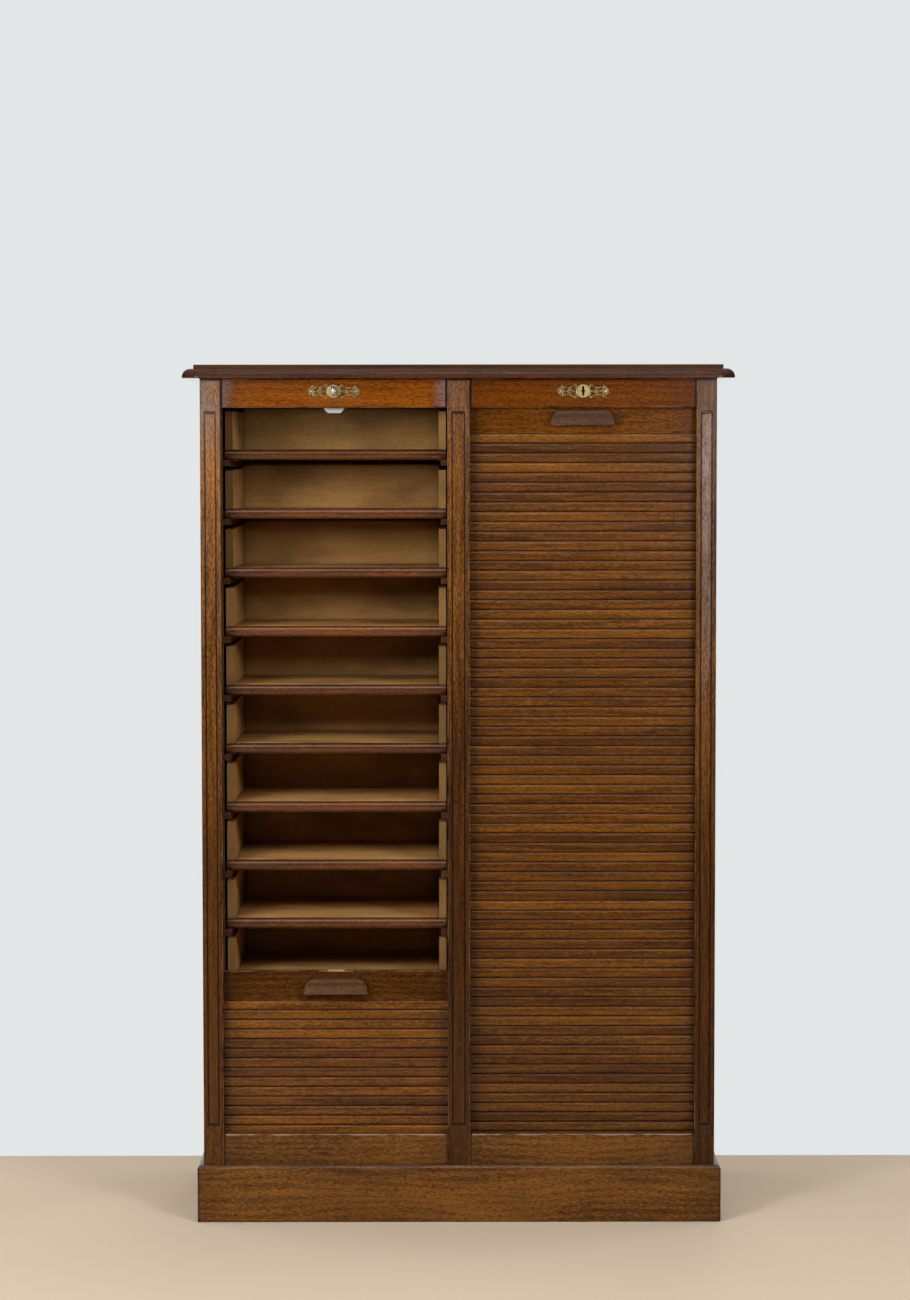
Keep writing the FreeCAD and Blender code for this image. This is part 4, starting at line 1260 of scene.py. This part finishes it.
@dataclass
class Shutter:
    """One roller shutter: lead rail, pull, slats and the canvas behind them."""

    store: Store
    side: Side
    lead_tone: float
    handle_tone: float
    finish: Finish
    arris: float = 0.0006
    lead_arris: float = 0.0012
    canvas_half: float = 0.0004
    canvas_columns: int = 16
    turn_radius: float = 0.1004
    turn_steps: int = 10
    row_length: float = 0.02
    fold_low: float = 0.03
    fold_halvings: int = 50
    squash_level: float = 0.10

    @property
    def body(self) -> str:
        """Name of the sliding body."""
        return self.side.value + "_shutter"

    @property
    def joint(self) -> dict:
        """The shutter's slide in the record."""
        wanted = self.body + "_slide"
        return next(joint for joint in frame["joints"] if joint["name"] == wanted)

    def build(self) -> None:
        """Dress the lead rail and the slats that slide with it, and then the rest."""
        lowered = self.side is Side.LEFT
        name = self.side.value
        front = "slats_left_front" if lowered else "slats_right_top"
        groups = [
            (LEAD_WOOD, "lead_rail_" + name, self.lead_arris, self.lead_tone),
            (HANDLE_WOOD, "handle_" + name, self.arris, self.handle_tone),
            (self.finish, front, self.arris, None),
        ]
        for finish, node, arris, tone in groups:
            Boards(self.store, finish, [node], self.body, arris, tone).build()
        if lowered:
            self.build_lowered()
        else:
            self.build_closed()

    def slats(self, name: str, node: str, clear: float | None = None) -> Workpiece:
        """Lay the slats of a CAD node on a bench, eased and marked.

        Args:
            name: Name of the piece to come.
            node: The node to copy.
            clear: The z above which no slat stays in the front half, if there is one.

        Returns:
            The bench.
        """
        bench = Workpiece(name, self.store)
        bench.take(node)
        if clear is not None:
            bench.clear(clear)
        bench.ease(self.arris)
        bench.mark()
        return bench

    def build_lowered(self) -> None:
        """Add the lowered shutter's slats on the track, those that feed out, and its canvas."""
        fold_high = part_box("slats_left_front")[0].z
        drop, rise = self.joint["range_m"]
        bench = self.slats("slats_left_stored_eased", "slats_left_stored", fold_high + drop)
        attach(bench.deliver([self.finish], ["slats_left_stored"]), "carcass")
        low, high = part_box("canvas_left")
        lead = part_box("lead_rail_left")[0].z
        front = low.y + self.canvas_half
        self.canvas("canvas_left_front", self.upright(front, fold_high, lead), [], self.body)
        self.canvas("canvas_left_stored", self.track(low, high, fold_high), ["canvas_left"], "carcass")
        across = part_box("slats_left_front")[0].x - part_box("slats_right_lower")[0].x
        bench = self.slats("left_feed_slats", "slats_right_lower")
        bench.move(lambda point: Vector((point.x + across, point.y, self.folded(point.z, fold_high, rise))))
        feed = bench.deliver([self.finish])
        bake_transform(feed)

    def folded(self, level: float, fold_high: float, rise: float) -> float:
        """Find where a point waits in the base so that it rises to a level.

        Args:
            level: The z that it rises to.
            fold_high: Where the fold ends.
            rise: How far the shutter goes up.

        Returns:
            The z at which it waits.
        """
        low, high = self.fold_low, fold_high
        for _ in range(self.fold_halvings):
            middle = (low + high) / 2
            share = (middle - self.fold_low) / (fold_high - self.fold_low)
            reached = middle + share * share * (3 - 2 * share) * rise
            low, high = (middle, high) if reached < level else (low, middle)
        return (low + high) / 2

    def build_closed(self) -> None:
        """Add the closed shutter's lower slats and its canvas."""
        bench = self.slats("slats_right_lower_eased", "slats_right_lower")
        lower = bench.deliver([self.finish], ["slats_right_lower"])
        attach(lower, "carcass")
        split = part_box("slats_right_lower")[1].z
        self.squash(lower)
        low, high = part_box("canvas_right")
        front = low.y + self.canvas_half
        self.canvas("canvas_right_top", self.upright(front, split, high.z), [], self.body)
        path = self.upright(front, low.z, split)
        self.squash(self.canvas("canvas_right_lower", path, ["canvas_right"], "carcass"))

    def upright(self, y: float, low: float, high: float) -> Outline:
        """Return the points, as (y, z) from below, of a straight hanging path."""
        rows = max(2, round((high - low) / self.row_length))
        return [(y, low + (high - low) * i / rows) for i in range(rows + 1)]

    def track(self, low: Vector, high: Vector, top: float) -> Outline:
        """Work out the path down the front, round the base and up the back.

        Args:
            low: Low corner of the CAD canvas.
            high: Its high corner.
            top: Where the path starts in front.

        Returns:
            Points as (y, z) from the front.
        """
        radius = self.turn_radius
        level = low.z + self.canvas_half + radius
        front = low.y + self.canvas_half
        rear = high.y - self.canvas_half
        points = list(reversed(self.upright(front, level, top)))
        for centre, start in ((front + radius, math.pi), (rear - radius, 3 * QUARTER)):
            for i in range(self.turn_steps + 1):
                angle = start + QUARTER * i / self.turn_steps
                points.append((centre + radius * math.cos(angle), level + radius * math.sin(angle)))
        return points + self.upright(rear, level, high.z)[1:]

    def canvas(self, name: str, path: Outline, nodes: Sequence[str], body: str) -> bpy.types.Object:
        """Lay one length of the canvas that the slats are glued to.

        Args:
            name: Name of the piece.
            path: Its side view.
            nodes: CAD nodes that it stands for.
            body: The body that carries it.

        Returns:
            The sheet.
        """
        low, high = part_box("canvas_" + self.side.value)
        bench = Workpiece(name, self.store)
        bench.cloth(path, low.x, high.x, self.canvas_columns)
        sheet = bench.deliver([COTTON], nodes)
        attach(sheet, body)
        return sheet

    def squash(self, piece: bpy.types.Object) -> None:
        """Give a piece its own copy of its mesh.

        Args:
            piece: The piece.
        """
        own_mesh(piece)


@dataclass
class Hardware:
    """Locks, bolts, key, strikes and escutcheons with their arrises eased."""

    store: Store
    arris: float = 0.00035
    plate_arris: float = 0.0006
    tone: float = 0.5

    def build(self) -> None:
        """Dress every metal node."""
        pieces = [(PIN_BRASS, "escutcheon_pins", "carcass"), (KEY_STEEL, "key", "lock_key")]
        for side in Side:
            name = side.value
            pieces += [
                (BRASS, "escutcheon_" + name, "carcass"),
                (STRIKE_BRASS, "strike_" + name, name + "_shutter"),
                (LOCK_STEEL, "lock_case_" + name, "carcass"),
                (LOCK_STEEL, "bolt_" + name, name + "_bolt"),
            ]
        changes = {"escutcheon_right": Keyhole(Side.RIGHT).widen, "key": KeyTurn().lean}
        for finish, node, body in pieces:
            arris = self.plate_arris if node.startswith("escutcheon_") else self.arris
            Boards(self.store, finish, [node], body, arris, self.tone, changes.get(node)).build()


@dataclass
class Nails:
    """Nail heads that hold the back boards to the case."""

    store: Store
    boards: int = 8
    radius: float = 0.0034
    rise: float = 0.0010
    sides: int = 12
    edge: float = 0.026
    end: float = 0.030
    rows: int = 4

    def build(self) -> None:
        """Drive two nails through every board at each row."""
        low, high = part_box("back_boards")
        width = (high.x - low.x) / self.boards
        step = (high.z - low.z - 2 * self.end) / (self.rows - 1)
        bench = Workpiece("back_nails", self.store)
        for board in range(self.boards):
            for across in (self.edge, width - self.edge):
                for row in range(self.rows):
                    level = low.z + self.end + step * row
                    place = Vector((low.x + width * board + across, high.y, level))
                    bench.dome(place, self.radius, self.rise, self.sides)
        bench.mark()
        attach(bench.deliver([NAIL_IRON]), "carcass")


@dataclass(frozen=True)
class Lamp:
    """One square soft lamp: where it hangs, what it points at, its edge and its power."""

    name: str
    place: Point
    target: Point
    size: float
    power: float

    def hang(self) -> None:
        """Hang the lamp in the scene."""
        data = bpy.data.lights.new(self.name, "AREA")
        data.size = self.size
        data.energy = self.power
        lamp = bpy.data.objects.new(self.name, data)
        lamp.location = self.place
        aim = Vector(self.target) - Vector(self.place)
        lamp.rotation_euler = aim.to_track_quat("-Z", "Y").to_euler()
        bpy.context.scene.collection.objects.link(lamp)


LAMPS = (
    Lamp("left_lamp", (-1.20, -2.0, 1.77), (-0.2, -0.2, 0.9), 0.6, 39.0),
    Lamp("right_lamp", (1.05, -1.9, 1.75), (0.1, -0.2, 0.9), 0.6, 27.0),
    Lamp("high_lamp", (0.0, -1.2, 3.0), (0.0, -0.2, 0.9), 1.4, 14.0),
    Lamp("low_lamp", (-3.2, -1.9, 0.7), (0.0, -0.2, 0.4), 1.0, 32.0),
    Lamp("left_rear_lamp", (-3.4, 1.5, 2.2), (0.0, 0.0, 0.8), 2.0, 40.0),
    Lamp("right_rear_lamp", (3.4, 1.5, 2.2), (0.0, 0.0, 0.8), 2.0, 40.0),
    Lamp("rear_lamp", (0.6, 4.2, 3.6), (0.0, 0.2, 0.8), 2.4, 90.0),
)


@dataclass
class Studio:
    """Floor, wall, lamps, room and the camera at the photograph's place."""

    camera_place: Point = (-0.01185, -5.7968, 1.42286)
    pitch: float = 0.05581
    yaw: float = 0.00093
    roll: float = 0.00096
    focal_pixels: float = 2916.67
    picture_height: float = 1300.0
    sensor: float = 36.0
    sight: float = 100.0
    reach: float = 14.0
    floor_level: float = -0.0004
    floor_fade: tuple[float, float] = (-2.6, -1.0)
    wall_y: float = 0.354
    floor_colour: Colour = (0.52, 0.425, 0.315)
    backdrop: Colour = (0.77, 0.795, 0.80)
    horizon: Colour = (0.08, 0.08, 0.08)
    zenith: Colour = (0.32, 0.32, 0.36)
    sky: tuple[float, float] = (0.15, 0.8)
    mirrored_back: tuple[float, float] = (-0.1, 0.3)
    mirrored_up: tuple[float, float] = (-0.2, -0.1)

    def build(self) -> None:
        """Set up everything around the object."""
        self.camera()
        self.floor()
        self.wall()
        self.world()
        for lamp in LAMPS:
            lamp.hang()
        bpy.context.scene.view_settings.view_transform = "Standard"

    def camera(self) -> None:
        """Place the camera."""
        data = bpy.data.cameras.new("photo_camera")
        data.sensor_width = self.sensor
        data.lens = self.sensor * self.focal_pixels / self.picture_height
        data.clip_end = self.sight
        camera = bpy.data.objects.new("photo_camera", data)
        camera.location = self.camera_place
        camera.rotation_euler = (QUARTER - self.pitch, self.roll, -self.yaw)
        bpy.context.scene.collection.objects.link(camera)
        bpy.context.scene.camera = camera

    def world(self) -> None:
        """Make a soft even room that the camera sees as a pale background."""
        world = bpy.data.worlds.new("pale_room")
        world.use_nodes = True
        desk = Desk(world.node_tree)
        way = desk.split(desk.add("TexCoord").outputs["Generated"])
        room = desk.mix(desk.ramp(way[2], *self.sky), self.horizon, self.zenith)
        path = desk.add("LightPath").outputs
        mirrored = desk.most(path["Is Glossy Ray"], path["Is Transmission Ray"])
        mirrored = desk.times(mirrored, desk.ramp(way[1], *self.mirrored_back))
        mirrored = desk.times(mirrored, desk.ramp(way[2], *self.mirrored_up))
        colour = desk.mix(desk.most(path["Is Camera Ray"], mirrored), room, self.backdrop)
        shader = desk.add("Background", {"Color": colour, "Strength": 1.0})
        desk.add("OutputWorld", {"Surface": shader.outputs["Background"]})
        bpy.context.scene.world = world

    def floor(self) -> None:
        """Lay a plain floor that keeps its colour where the lamps no longer reach."""
        material, desk = new_material("plain_floor")
        depth = desk.split(desk.add("NewGeometry").outputs["Position"])[1]
        seen = desk.add("LightPath").outputs["Is Camera Ray"]
        far = desk.times(seen, desk.ramp(depth, *self.floor_fade, 1.0, 0.0))
        lit = desk.add("BsdfDiffuse", {"Color": self.floor_colour})
        plain = desk.add("Emission", {"Color": self.floor_colour, "Strength": 1.0})
        desk.surface(far, lit, plain)
        near, level = -self.reach, self.floor_level
        self.sheet("floor", (near, near, level), (self.reach, self.reach, level), material)

    def wall(self) -> None:
        """Stand a pale wall behind the object that only those in front of it see."""
        material, desk = new_material("pale_wall")
        path = desk.add("LightPath").outputs
        seen = desk.most(path["Is Camera Ray"], path["Is Glossy Ray"])
        seen = desk.most(seen, path["Is Transmission Ray"])
        front = desk.less(1.0, desk.add("NewGeometry").outputs["Backfacing"])
        pale = desk.add("Emission", {"Color": self.backdrop, "Strength": 1.0})
        desk.surface(desk.times(seen, front), desk.add("BsdfTransparent"), pale)
        y = self.wall_y
        self.sheet("wall", (-self.reach, y, self.floor_level), (self.reach, y, self.reach), material)

    @staticmethod
    def sheet(name: str, low: Point, high: Point, material: bpy.types.Material) -> None:
        """Set up one flat sheet of the stage that faces up or to the front.

        Args:
            name: Its name.
            low: Its low corner.
            high: Its high corner.
            material: Its material.
        """
        left, right = low[0], high[0]
        corners = [low, (right, *low[1:]), high, (left, *high[1:])]
        mesh = bpy.data.meshes.new(name)
        mesh.from_pydata(corners, [], [range(len(corners))])
        mesh.materials.append(material)
        sheet = bpy.data.objects.new(name, mesh)
        bpy.context.scene.collection.objects.link(sheet)


def main() -> None:
    """Build the cabinet and the studio round it."""
    logging.basicConfig(level=logging.INFO, format="%(name)s %(message)s")
    store = Store()
    Studio().build()
    Carcass(store).build()
    for side in Side:
        for number in range(1, TRAY_COUNT + 1):
            Tray(store, side, number).build()
    # The left handle's higher tone is painted light, lifting it out of the shade it stands in.
    Shutter(store, Side.LEFT, lead_tone=0.12, handle_tone=0.85, finish=FRESH_SLAT_WOOD).build()
    Shutter(store, Side.RIGHT, lead_tone=0.85, handle_tone=0.45, finish=SLAT_WOOD).build()
    Hardware(store).build()
    Nails(store).build()


if __name__ == "__main__":
    main()
